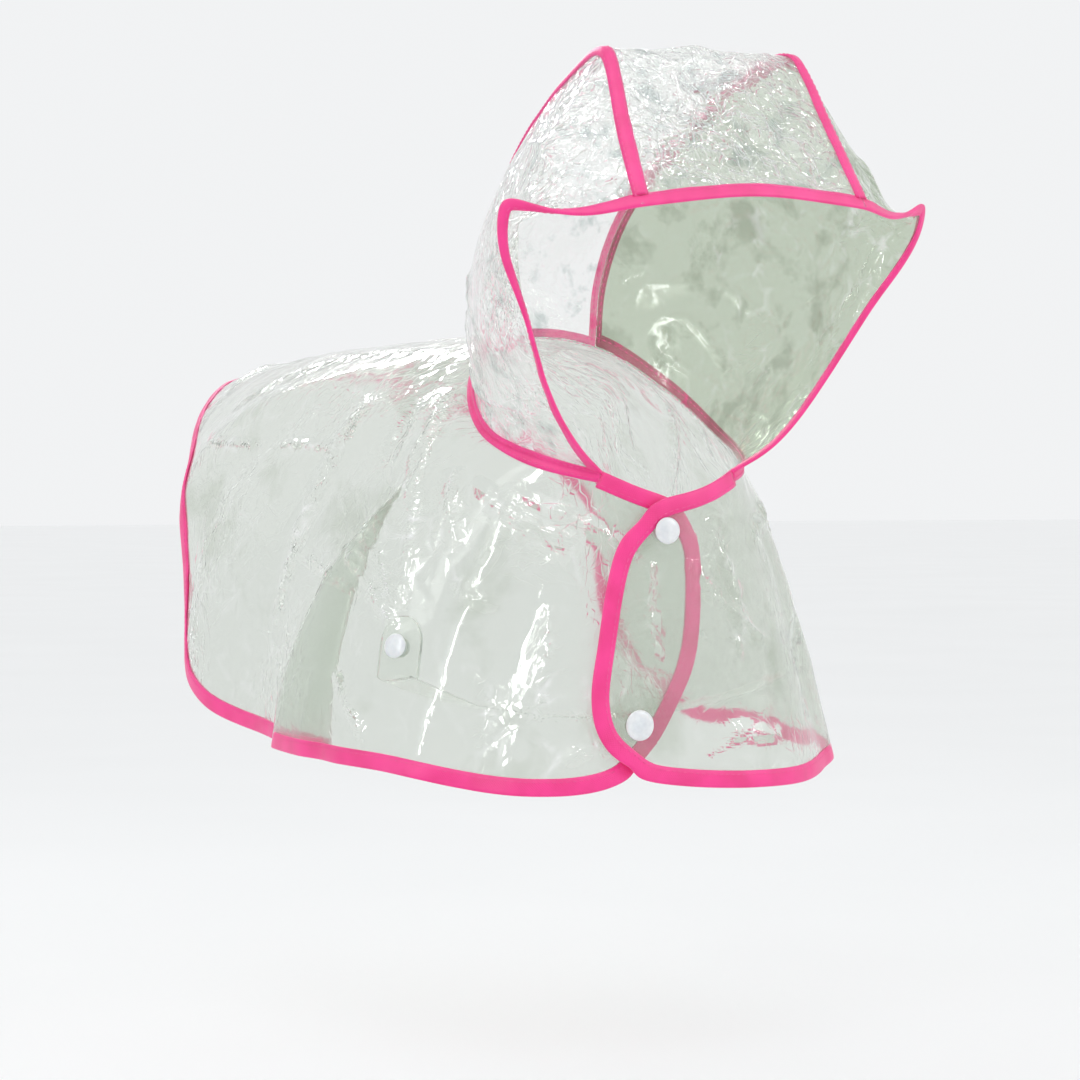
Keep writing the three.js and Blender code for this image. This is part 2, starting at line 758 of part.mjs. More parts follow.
// Steps the first point of a column back from the neck seam, and gives it the seam's normal
function trimAtNeck(grid, i, angle, step) {
  const [seam, next] = grid.points[i];
  seam.addScaledVector(next.clone().sub(seam).normalize(), step);
  grid.normals[i][0].copy(neckNormal(angle));
}

// Two panels that meet share the seam's normals, and each steps back by half the gap
function joinPanels(side, centre, centreColumn, centreNext) {
  for (let j = 0; j < side.points[0].length; j += 1) {
    const a = side.points[0][j];
    const b = centre.points[centreColumn][j];
    const shared = side.normals[0][j].clone().add(centre.normals[centreColumn][j]).normalize();
    side.normals[0][j].copy(shared);
    centre.normals[centreColumn][j].copy(shared);
    a.addScaledVector(side.points[1][j].clone().sub(a).normalize(), gap / 2);
    b.addScaledVector(centre.points[centreNext][j].clone().sub(b).normalize(), gap / 2);
  }
}

const sideBorders = { low: neckTapeHalf, high: faceTapeWidth, start: seamTapeHalf, end: faceTapeWidth };
const gussetBorders = { low: neckTapeHalf, high: faceTapeWidth, start: seamTapeHalf, end: seamTapeHalf };
const hood = {
  right: hoodGrid(surfaces.right, 1, sideColumns, sideRows, sideBorders),
  left: hoodGrid(surfaces.left, -1, sideColumns, sideRows, sideBorders),
  centre: hoodGrid(surfaces.centre, -1, gussetColumns, sideRows, gussetBorders),
};
joinPanels(hood.right, hood.centre, 0, 1);
joinPanels(hood.left, hood.centre, gussetColumns, gussetColumns - 1);
for (const [panel, grid] of Object.entries(hood)) {
  grid.across.forEach((u, i) => trimAtNeck(grid, i, neckAngle(panel, u), gap / 2));
}

const columns = capeColumns();
const places = capePlaces(columns);
const cape = {
  points: places.map((list) => list.map(({ at, down }) => capeSurface(at, down))),
  normals: places.map((list) => list.map(({ at, down }) => capeNormal(at, down))),
};
columns.forEach((column, i) => {
  if (column < throatColumns.right || column > throatColumns.left) return;
  const atEnd = column === throatColumns.right || column === throatColumns.left;
  trimAtNeck(cape, i, angleOf(column, 0), atEnd ? gap : gap / 2);
});

function midway(a, b, share = 0.5) {
  return a.clone().lerp(b, share);
}

// Step of a folded tape at a place of a grid
function gridStep(grid, i, j, m, n) {
  return {
    edge: grid.points[i][j].clone(),
    inner: grid.points[m][n].clone(),
    edgeNormal: grid.normals[i][j],
    innerNormal: grid.normals[m][n],
  };
}

// Tape round the face opening: up the right edge, along the brim and down the left edge
function faceTapeSteps() {
  const steps = [];
  const u = sideColumns;
  const v = sideRows;
  const brimStep = (grid, i) => gridStep(grid, i, v, i, v - 1);
  const seamStep = (side, i) => {
    const a = brimStep(side, 0);
    const b = brimStep(hood.centre, i);
    return { ...a, edge: midway(a.edge, b.edge), inner: midway(a.inner, b.inner) };
  };
  for (let j = 0; j < v; j += 1) steps.push(gridStep(hood.right, u, j, u - 1, j));
  steps.push(gridStep(hood.right, u, v, u - 1, v - 1));
  for (let i = u - 1; i > 0; i -= 1) steps.push(brimStep(hood.right, i));
  steps.push(seamStep(hood.right, 0));
  for (let i = 1; i < gussetColumns; i += 1) steps.push(brimStep(hood.centre, i));
  steps.push(seamStep(hood.left, gussetColumns));
  for (let i = 1; i < u; i += 1) steps.push(brimStep(hood.left, i));
  steps.push(gridStep(hood.left, u, v, u - 1, v - 1));
  for (let j = v - 1; j >= 0; j -= 1) steps.push(gridStep(hood.left, u, j, u - 1, j));
  return steps;
}

// Tape round the cape: the right throat edge and flap, the hem and the rear arch, the left flap and throat
function edgeTapeSteps() {
  const end = columns.length - 1;
  const low = capeRows;
  const right = columns.findIndex((column) => column >= throatColumns.right - 1e-6);
  const left = columns.findIndex((column) => column >= throatColumns.left - 1e-6);
  const steps = [];
  const onRow = (i, j, n) => steps.push(gridStep(cape, i, j, i, n));
  for (let i = right; i > 0; i -= 1) onRow(i, 0, 1);
  steps.push(gridStep(cape, 0, 0, 1, 1));
  for (let j = 1; j < low; j += 1) steps.push(gridStep(cape, 0, j, 1, j));
  steps.push(gridStep(cape, 0, low, 1, low - 1));
  for (let i = 1; i < end; i += 1) onRow(i, low, low - 1);
  steps.push(gridStep(cape, end, low, end - 1, low - 1));
  for (let j = low - 1; j > 0; j -= 1) steps.push(gridStep(cape, end, j, end - 1, j));
  steps.push(gridStep(cape, end, 0, end - 1, 1));
  for (let i = end - 1; i >= left; i -= 1) onRow(i, 0, 1);
  const draw = (from, towards) => {
    const share = throatClear / from.edge.distanceTo(towards.edge);
    from.edge.lerp(towards.edge, share);
    from.inner.lerp(towards.inner, share);
  };
  draw(steps[0], steps[1]);
  draw(steps[steps.length - 1], steps[steps.length - 2]);
  return steps;
}

// Tape over the neck seam, clear of the face tape at both ends
function neckTapeSteps() {
  const steps = [];
  for (let i = columns.length - 1; i > 0; i -= 1) {
    const at = angleOf(columns[i], 0);
    if (at < hoodEnd + neckTapeClear || at > 360 - hoodEnd - neckTapeClear) continue;
    const { surface, sign, u } = hoodAbove(at);
    const up = neckTapeHalf / lengthOf((v) => surface(u, v));
    steps.push([
      { point: cape.points[i][1], normal: cape.normals[i][1] },
      { point: neckPoint(at), normal: neckNormal(at) },
      { point: surface(u, up), normal: normalOf(surface, u, up, 0.01, 0.01).multiplyScalar(sign) },
    ]);
  }
  return steps;
}

// Tape over a hood seam, from the neck tape to the face tape
function seamTapeSteps(side, centreColumn, centreNext) {
  const line = (j) => {
    const middle = midway(side.points[0][j], hood.centre.points[centreColumn][j]);
    return [
      { point: side.points[1][j].clone(), normal: side.normals[1][j] },
      { point: middle, normal: side.normals[0][j] },
      { point: hood.centre.points[centreNext][j].clone(), normal: hood.centre.normals[centreNext][j] },
    ];
  };
  const shift = (from, towards) => from.map(({ point, normal }, k) => {
    const way = towards[k].point.clone().sub(point).normalize();
    return { point: point.clone().addScaledVector(way, endClear), normal };
  });
  const steps = [shift(line(1), line(2))];
  for (let j = 2; j < sideRows - 1; j += 1) steps.push(line(j));
  steps.push(shift(line(sideRows - 1), line(sideRows - 2)));
  return steps;
}

// A round snap part on the film: profile heights are measured out from the middle of the film
function snapPart(place, profile) {
  const points = profile.map(([radius, height]) => new THREE.Vector2(radius, height));
  const geometry = new THREE.LatheGeometry(points, snapSides);
  const turn = new THREE.Quaternion().setFromUnitVectors(new THREE.Vector3(0, 1, 0), place.normal);
  geometry.applyQuaternion(turn);
  geometry.translate(place.point.x, place.point.y, place.point.z);
  return geometry;
}

const face = filmWall / 2 + snapRoom;
function capProfile(seat, radius) {
  const base = face + seat;
  const post = seat > 0 ? [[0, face], [snapPost, face], [snapPost, base]] : [[0, face]];
  return [
    ...post,
    [radius, base],
    [radius, base + snapCap.rim],
    [0.8 * radius, base + 0.8 * snapCap.height],
    [0.4 * radius, base + snapCap.height],
    [0, base + snapCap.height],
  ];
}
function jointProfile(spacing) {
  const low = face - spacing;
  return [
    [0, low],
    [snapStud, low],
    [snapStud, low + 1],
    [0.7 * snapStud, low + 1.3],
    [0.7 * snapStud, -face - 1.3],
    [snapStud, -face - 1],
    [snapStud, -face],
    [0, -face],
  ];
}
function backProfile(spacing) {
  const high = -spacing - face;
  return [
    [0, high - snapBack.height],
    [0.7 * snapBack.radius, high - snapBack.height],
    [snapBack.radius, high - 0.5 * snapBack.height],
    [snapBack.radius, high],
    [0, high],
  ];
}

const chestPlace = ({ over, down }) => ({
  point: capeSurface(360 + over, down),
  normal: capeNormal(360 + over, down),
});
const flankPlace = (at) => ({ point: capeSurface(at, flankSnap.down), normal: capeNormal(at, flankSnap.down) });
const flankPlaces = { right: flankPlace(flankSnap.at), left: flankPlace(360 - flankSnap.at) };

// Belly strap from flank to flank, held inside the film by the flank snaps
function strapGeometry() {
  const ends = [flankPlaces.right, flankPlaces.left].map(({ point, normal }) => {
    const snap = point.clone().addScaledVector(normal, -strap.inside);
    const across = normal.clone().cross(new THREE.Vector3(0, 0, 1)).normalize();
    if (across.y > 0) across.negate();
    const down = across.clone().cross(normal).normalize();
    if (down.z > 0) down.negate();
    return { snap, across, down, low: snap.clone().addScaledVector(down, strap.overrun) };
  });
  const middle = new THREE.Vector3(0, strap.back, strap.dip);
  const turnIn = ({ low }) => low.clone().lerp(middle, 0.35).setZ(low.z + 0.62 * (strap.dip - low.z));
  const curve = new THREE.CatmullRomCurve3(
    [ends[0].low, turnIn(ends[0]), middle, turnIn(ends[1]), ends[1].low],
    false,
    'centripetal',
  );
  const sections = [];
  const addStraight = ({ snap, across, down }, order, way) => {
    for (const share of order) {
      const centre = snap.clone().addScaledVector(down, share * strap.overrun);
      sections.push({ centre, width: across, along: down.clone().multiplyScalar(way) });
    }
  };
  addStraight(ends[0], [-1, -0.4, 0.4, 0.8], 1);
  for (let k = 1; k < strap.steps; k += 1) {
    const t = k / strap.steps;
    const share = (2 * t - 1) ** 2;
    const width = new THREE.Vector3(0, -1, 0).lerp(ends[t < 0.5 ? 0 : 1].across, share).normalize();
    sections.push({ centre: curve.getPointAt(t), width, along: curve.getTangentAt(t) });
  }
  addStraight(ends[1], [0.8, 0.4, -0.4, -1], -1);
  const rings = sections.map(({ centre, width, along }) => {
    const out = width.clone().cross(along).normalize().multiplyScalar(strap.wall / 2);
    const half = along.clone().cross(out).normalize().multiplyScalar(strap.width / 2);
    return [
      centre.clone().add(half).add(out),
      centre.clone().sub(half).add(out),
      centre.clone().sub(half).sub(out),
      centre.clone().add(half).sub(out),
    ];
  });
  const cap = [
    [0, 1, 2],
    [0, 2, 3],
  ];
  return sweepGeometry(rings, cap);
}

const material = (color, roughness, opacity = 1) => new THREE.MeshStandardMaterial({
  color,
  roughness,
  metalness: 0,
  opacity,
  transparent: opacity < 1,
});
const film = material(0xdfe5dc, 0.12, 0.35);
const tape = material(0xff3399, 0.55);
const plastic = material(0xf4f3f2, 0.3);

const raincoat = new THREE.Group();
function add(name, geometry, look) {
  const mesh = new THREE.Mesh(geometry, look);
  mesh.name = name;
  raincoat.add(mesh);
}

const turned = {
  cape: (i, j, endI, endJ) => (i === 0 && j > 0) || (i === endI && j < endJ),
  right: (i, j, endI, endJ) => i === 0 || (j === endJ && i < endI),
  left: (i, j, endI, endJ) => (i === 0 || i === endI) && j < endJ,
  centre: (i, j, endI, endJ) => i === endI && j < endJ,
};
add('cape', wallGeometry(cape, filmWall, turned.cape), film);
add('hood_side_right', wallGeometry(hood.right, filmWall, turned.right), film);
add('hood_side_left', wallGeometry(hood.left, filmWall, turned.left), film);
add('hood_center', wallGeometry(hood.centre, filmWall, turned.centre), film);
add('edge_tape', foldedTape(edgeTapeSteps()), tape);
add('face_tape', foldedTape(faceTapeSteps()), tape);
add('neck_tape', flatTape(neckTapeSteps(), neckTapeRoom), tape);
add('seam_tape_right', flatTape(seamTapeSteps(hood.right, 0, 1), gap), tape);
add('seam_tape_left', flatTape(seamTapeSteps(hood.left, gussetColumns, gussetColumns - 1), gap), tape);
for (const snap of chestSnaps) {
  const place = chestPlace(snap);
  add(`snap_${snap.name}_cap`, snapPart(place, capProfile(snap.seat, snap.radius)), plastic);
  add(`snap_${snap.name}_joint`, snapPart(place, jointProfile(flapLift)), plastic);
  add(`snap_${snap.name}_back`, snapPart(place, backProfile(flapLift)), plastic);
}
for (const [side, place] of Object.entries(flankPlaces)) {
  add(`snap_flank_${side}_cap`, snapPart(place, capProfile(0, snapCap.radius)), plastic);
  add(`snap_flank_${side}_joint`, snapPart(place, jointProfile(strap.inside)), plastic);
  add(`snap_flank_${side}_back`, snapPart(place, backProfile(strap.inside)), plastic);
}
add('belly_strap', strapGeometry(), film);

export default raincoat;
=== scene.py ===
import bpy
import numpy as np
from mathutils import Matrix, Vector
from mathutils.kdtree import KDTree


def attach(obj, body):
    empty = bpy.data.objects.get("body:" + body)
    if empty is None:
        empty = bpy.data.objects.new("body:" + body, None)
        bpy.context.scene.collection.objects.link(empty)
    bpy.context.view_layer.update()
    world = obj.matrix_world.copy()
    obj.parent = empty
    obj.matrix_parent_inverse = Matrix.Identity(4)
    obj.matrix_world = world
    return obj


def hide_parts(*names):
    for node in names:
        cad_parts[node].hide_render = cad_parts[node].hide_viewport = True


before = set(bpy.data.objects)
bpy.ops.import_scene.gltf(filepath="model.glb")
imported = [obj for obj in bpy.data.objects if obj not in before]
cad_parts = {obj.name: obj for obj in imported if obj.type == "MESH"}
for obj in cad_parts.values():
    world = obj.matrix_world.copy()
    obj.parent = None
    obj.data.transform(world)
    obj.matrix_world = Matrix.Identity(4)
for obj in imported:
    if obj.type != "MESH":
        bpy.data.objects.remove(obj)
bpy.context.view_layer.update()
mm = 0.001


# Helpers for tables, surfaces and curves. Tables are in millimetres and degrees, surfaces in metres

def ease(t):
    s = np.clip(t, 0, 1)
    return s * s * (3 - 2 * s)


def reader(table, key, name):
    keys = np.array(table[key], float)
    values = np.array(table[name], float)
    slopes = np.empty_like(values)
    slopes[1:-1] = (values[2:] - values[:-2]) / (keys[2:] - keys[:-2])
    slopes[0] = (values[1] - values[0]) / (keys[1] - keys[0])
    slopes[-1] = (values[-1] - values[-2]) / (keys[-1] - keys[-2])

    def read(t):
        t = np.clip(t, keys[0], keys[-1])
        k = np.clip(np.searchsorted(keys, t, side="left") - 1, 0, len(keys) - 2)
        span = keys[k + 1] - keys[k]
        s = (t - keys[k]) / span
        h = s * s * (3 - 2 * s)
        bendA = s * (1 - s) ** 2 * slopes[k] * span
        bendB = s * s * (s - 1) * slopes[k + 1] * span
        return values[k] * (1 - h) + values[k + 1] * h + bendA + bendB

    return read


def roundReader(table, name, odd=False):  # a half table read all round: 0 is the front, 180 the spine
    at = list(table["at"])
    values = list(table[name])
    sign = -1 if odd else 1
    front = [-a for a in at[3:0:-1]]
    back = [360 - a for a in at[-2:-5:-1]]
    wide = {
        "at": front + at + back,
        name: [sign * v for v in values[3:0:-1]] + values + [sign * v for v in values[-2:-5:-1]],
    }
    read = reader(wide, "at", name)

    def readRound(degrees):
        far = degrees > 180
        return np.where(far, sign, 1) * read(np.where(far, 360 - degrees, degrees))

    return readRound


def unit(v):
    return v / np.maximum(np.linalg.norm(v, axis=-1, keepdims=True), 1e-12)


def normalOf(surface, a, b, stepA, stepB):
    b0 = np.maximum(0, b - stepB)
    b1 = np.minimum(1, b + stepB)
    alongA = surface(a + stepA, b) - surface(a - stepA, b)
    alongB = surface(a, b1) - surface(a, b0)
    return unit(np.cross(alongA, alongB))


def runOf(points):  # the length from the first point to each
    return np.concatenate([[0], np.cumsum(np.linalg.norm(np.diff(points, axis=0), axis=1))])


def smoothCurve(points, divisions=400):  # centripetal curve through points, read by share of its length
    p = np.array(points, float)
    p = np.vstack([2 * p[0] - p[1], p, 2 * p[-1] - p[-2]])
    knots = np.linalg.norm(np.diff(p, axis=0), axis=1) ** 0.5
    spans = len(points) - 1
    t = np.linspace(0, 1, divisions + 1)
    k = np.minimum((t * spans).astype(int), spans - 1)
    w = (t * spans - k)[:, None]
    p0, p1, p2, p3 = p[k], p[k + 1], p[k + 2], p[k + 3]
    d0, d1, d2 = knots[k][:, None], knots[k + 1][:, None], knots[k + 2][:, None]
    m1 = ((p1 - p0) / d0 - (p2 - p0) / (d0 + d1) + (p2 - p1) / d1) * d1
    m2 = ((p2 - p1) / d1 - (p3 - p1) / (d1 + d2) + (p3 - p2) / d2) * d1
    curve = p1 + m1 * w + (3 * (p2 - p1) - 2 * m1 - m2) * w ** 2 + (2 * (p1 - p2) + m1 + m2) * w ** 3
    run = runOf(curve)
    share = run / run[-1]

    def read(s):
        s = np.clip(s, 0, 1)
        return np.stack([np.interp(s, share, curve[:, axis]) for axis in range(3)], -1)

    return read


# Cape: a film sheet that hangs from the neck seam, open at the front, with two flaps that overlap
cape = {
    "neckHalfWidth": 66,
    "neckHalfLength": 70,
    "hoodEnd": 31,
    "flapLift": 5.2,
    "frontZone": 60,
    "firstColumn": 10,
    "lastColumn": 371,
    "cornerUp": 0.13,
    "cornerDown": 0.93,
    "cornerRight": 17,
    "cornerLeft": 21,
    "pleat": {"from": 80, "to": 94, "shift": 9.5, "height": 18, "ease": 26, "start": 0.14},
    "tuck": {"at": 128, "width": 14, "depth": 3.5, "from": 0.7},
    "filmHalf": 0.25,
    "rows": 110,
}
neckHeights = {
    "at": [0, 30, 60, 90, 120, 150, 180],
    "z": [-78, -73, -65, -53, -29, -7, 0],
}
capeOutline = {
    "at": [0, 20, 35, 48, 60, 74, 90, 104, 113, 120, 126, 132, 140, 149, 159, 169, 180],
    "x": [0, 45, 79, 105, 123, 134, 137, 138, 139, 138, 137, 135, 130, 113, 82, 42, 0],
    "y": [-140, -139, -128, -108, -83, -38, 18, 78, 126, 165, 183, 191, 203, 236, 281, 326, 343],
    "z": [-227, -229, -229, -225, -220, -217, -215, -212, -203, -183, -155, -122, -86, -56, -30, -14, -9],
}
capeRun = {
    "at": [0, 50, 80, 110, 140, 180],
    "spread": [1, 1.05, 1.5, 1.75, 1.6, 1.1],
    "fall": [1, 1.05, 1.45, 1.9, 2, 1.3],
    "lift": [0, 0, 3, 5, 5, 7],
}
flapRight = {
    "down": [0.13, 0.2, 0.36, 0.52, 0.62, 0.73, 0.85, 0.93],
    "over": [7, 10.5, 10, 8, 5.5, 1, -4.5, -10],
}
flapLeft = {
    "down": [0.13, 0.2, 0.32, 0.54, 0.68, 0.79, 0.87, 0.93],
    "over": [14, 20, 22.5, 23, 23, 21, 17, 11],
}
throatRight = {"over": [-31, -17, -3, 3, 7], "down": [0, 0.024, 0.05, 0.08, 0.13]}
throatLeft = {"over": [-31, -14, 3, 10, 14], "down": [0, 0.024, 0.05, 0.08, 0.13]}
folds = {  # soft radial folds: angle, width in degrees, depth outwards in mm, where they start
    "at": [44, 56, 77, 106, 118, 146, 163, 198, 216, 241, 255, 269, 282, 304],
    "width": [8, 8, 6, 9, 9, 10, 9, 10, 10, 9, 9, 9, 7, 8],
    "depth": [-3, 4, -3, -4.5, 4, -3.5, 2.5, 2.5, -3.5, 4, -4.5, 3.5, -4, 3.5],
    "from": [0.1, 0.05, 0.05, 0.1, 0.2, 0.15, 0.25, 0.25, 0.15, 0.2, 0.1, 0.1, 0.05, 0.05],
}

neckZ = roundReader(neckHeights, "z")
edgeX = roundReader(capeOutline, "x", odd=True)
edgeY = roundReader(capeOutline, "y")
edgeZ = roundReader(capeOutline, "z")
runSpread = roundReader(capeRun, "spread")
runFall = roundReader(capeRun, "fall")
runLift = roundReader(capeRun, "lift")
rightFlap = reader(flapRight, "down", "over")
leftFlap = reader(flapLeft, "down", "over")
rightThroat = reader(throatRight, "over", "down")
leftThroat = reader(throatLeft, "over", "down")


def capeBase(degrees, down):
    degrees, down = np.broadcast_arrays(degrees, down)
    turn = np.radians(degrees)
    neck = np.stack([
        -cape["neckHalfWidth"] * np.sin(turn),
        -cape["neckHalfLength"] * (1 + np.cos(turn)),
        neckZ(degrees),
    ], -1)
    out = 1 - (1 - np.clip(down, 0, 1)) ** runSpread(degrees)
    fall = np.clip(down, 0, 1) ** runFall(degrees)
    lift = runLift(degrees) * np.sin(np.pi * down) * (1 - 0.4 * down)
    edge = np.stack([-edgeX(degrees), edgeY(degrees), edgeZ(degrees)], -1)
    share = np.stack([out, out, fall], -1)
    point = neck + (edge - neck) * share
    point[..., 2] += lift
    return point * mm


def foldHeight(degrees, down):
    height = np.zeros(np.broadcast(degrees, down).shape)
    for at, width, depth, start in zip(*(folds[k] for k in ("at", "width", "depth", "from"))):
        t = np.abs(degrees - at) / width
        height += depth * ease(1 - t) * ease((down - start) / 0.5)
    tuck = cape["tuck"]
    corner = np.abs(np.minimum(degrees, 360 - degrees) - tuck["at"]) / tuck["width"]
    height -= tuck["depth"] * ease(1 - corner) * ease((down - tuck["from"]) / (1 - tuck["from"]))
    return height


def pleatAt(nominal, down):
    pleat = cape["pleat"]
    span = pleat["to"] - pleat["from"]
    t = (nominal - pleat["from"]) / span
    grow = np.maximum(0, (down - pleat["start"]) / (1 - pleat["start"]))
    before = 0.5 * ease(1 + t * span / pleat["ease"])
    after = -0.5 * ease(1 - (t - 1) * span / pleat["ease"])
    height = np.where(t < 0, before, np.where(t > 1, after, 0.5 * np.cos(np.pi * t)))
    shift = np.where((t > 0) & (t < 1), pleat["shift"] * np.sin(2 * np.pi * t) * grow, 0)
    return nominal + shift, pleat["height"] * height * ease(grow / 0.6)


def capeSurface(nominal, down):
    nominal, down = np.broadcast_arrays(np.asarray(nominal, float), np.asarray(down, float))
    degrees, height = pleatAt(nominal, down)
    normal = normalOf(capeBase, degrees, down, 0.5, 0.004)
    out = height + foldHeight(degrees, down) + cape["flapLift"] * ease((nominal - 290) / 42)
    return capeBase(degrees, down) + normal * out[..., None] * mm


def capeNormal(nominal, down):
    return normalOf(capeSurface, nominal, down, 0.25, 0.003)


def angleOf(column, down):  # the columns near the front follow the flap edges
    zone = cape["frontZone"]
    at = np.clip(down, cape["cornerUp"], cape["cornerDown"])
    right = zone + (column - zone) / (zone - cape["firstColumn"]) * (zone + rightFlap(at))
    leftZone = 360 - zone
    left = leftZone + (column - leftZone) / (cape["lastColumn"] - leftZone) * (zone + leftFlap(at))
    return np.where(column < zone, right, np.where(column > leftZone, left, column))


def columnAt(angle):
    zone = cape["frontZone"]
    if angle < zone:
        share = (zone - cape["firstColumn"]) / (zone + rightFlap(cape["cornerUp"]))
        return zone + (angle - zone) * share
    leftZone = 360 - zone
    share = (cape["lastColumn"] - leftZone) / (zone + leftFlap(cape["cornerUp"]))
    return leftZone + (angle - leftZone) * share


throatColumns = [columnAt(cape["hoodEnd"]), columnAt(360 - cape["hoodEnd"])]


def topOf(column):
    angle = angleOf(column, 0)
    right = rightThroat(-angle)
    left = leftThroat(angle - 360)
    return np.where(column < throatColumns[0], right, np.where(column > throatColumns[1], left, 0))


def bottomOf(column):
    right = (column - cape["firstColumn"]) / cape["cornerRight"]
    left = (cape["lastColumn"] - column) / cape["cornerLeft"]
    t = np.clip(np.minimum(right, left), 0, 1)
    return cape["cornerDown"] + (1 - cape["cornerDown"]) * np.sqrt(1 - (1 - t) ** 2)


# Hood: two side panels and a middle one, between the neck seam, the seams over the crown and the brim
hood = {
    "gussetStart": 155,
    "sideBulge": 8.5,
    "gussetBulge": -4,
    "tilt": {"rise": 0.03, "shift": 2, "from": -70, "to": 60},
    "crest": [0, -221, 58],
    "sideGrid": (130, 150),
    "middleGrid": (90, 190),
}
hoodSeam = {
    "x": [27.9, 31, 36, 42, 47, 50, 52, 53, 57, 61],
    "y": [-6.6, -5, -17, -47, -93, -135, -158, -168, -190, -217],
    "z": [-4.8, 28, 60, 88, 112, 127, 132, 129, 95, 53],
}
faceEdge = {
    "x": [34, 51, 65, 77, 88, 99, 111, 117, 118],
    "y": [-130, -140, -146, -152, -160, -167, -174, -179.5, -184],
    "z": [-73, -62, -47, -29, -9, 10, 28, 42, 59],
}
brimSide = {"x": [61, 88, 118], "y": [-217, -203, -184], "z": [53, 49, 59]}


def hoodLine(table, side):
    x, y, z = (np.array(table[k], float) for k in "xyz")
    tilt = hood["tilt"]
    share = ease((z - tilt["from"]) / (tilt["to"] - tilt["from"]))
    points = np.stack([side * x + tilt["shift"] * share, y, z + tilt["rise"] * side * x * share], -1)
    return smoothCurve(points * mm)


def patch(low, high, start, end):  # a surface between four border curves
    def point(u, v):
        u, v = np.broadcast_arrays(np.asarray(u, float), np.asarray(v, float))
        uu, vv = u[..., None], v[..., None]
        corners = low(0.0) * (1 - uu) * (1 - vv) + low(1.0) * uu * (1 - vv)
        corners = corners + high(0.0) * (1 - uu) * vv + high(1.0) * uu * vv
        return low(u) * (1 - vv) + high(u) * vv + start(v) * (1 - uu) + end(v) * uu - corners
    return point


def neckPoint(degrees):
    return capeSurface(degrees, 0.0)


def bulged(base, height, sign, powers):  # powers say how flat the bulge starts across and up
    def point(u, v):
        normal = normalOf(base, np.asarray(u, float), np.asarray(v, float), 0.01, 0.01) * sign
        across, up = (np.sin(np.pi * np.clip(t, 0, 1)) ** p for t, p in zip((u, v), powers))
        return base(u, v) + normal * (height * mm * across * up)[..., None]
    return point


def toNeck(line, foot, power=1):  # moves a border curve's low end onto the neck seam
    def read(v):
        return line(v) + (foot - line(0.0)) * (1 - np.asarray(v)[..., None]) ** power
    return read


def sidePanel(side):
    def neckAngle(u):
        angle = hood["gussetStart"] + (cape["hoodEnd"] - hood["gussetStart"]) * np.asarray(u)
        return angle if side < 0 else 360 - angle
    low = lambda u: neckPoint(neckAngle(u))
    start = toNeck(hoodLine(hoodSeam, side), low(0.0))
    end = toNeck(hoodLine(faceEdge, side), low(1.0), 2)
    return bulged(patch(low, hoodLine(brimSide, side), start, end), hood["sideBulge"], -side, (2, 1.5))


def middlePanel():
    span = 360 - 2 * hood["gussetStart"]
    low = lambda u: neckPoint(hood["gussetStart"] + span * np.asarray(u))
    right = toNeck(hoodLine(hoodSeam, -1), low(0.0))
    left = toNeck(hoodLine(hoodSeam, 1), low(1.0))
    brim = smoothCurve([right(1.0), np.array(hood["crest"]) * mm, left(1.0)])
    return bulged(patch(low, brim, right, left), hood["gussetBulge"], -1, (1, 1))


panels = {
    "hoodRight": {"surface": sidePanel(-1), "sign": 1},
    "hoodLeft": {"surface": sidePanel(1), "sign": -1},
    "hoodMiddle": {"surface": middlePanel(), "sign": -1},
}


# Creases: half width and height in mm (troughs below 0), then places in the surface
def crease(width, height, *path):
    return {"width": width, "height": height, "path": path}


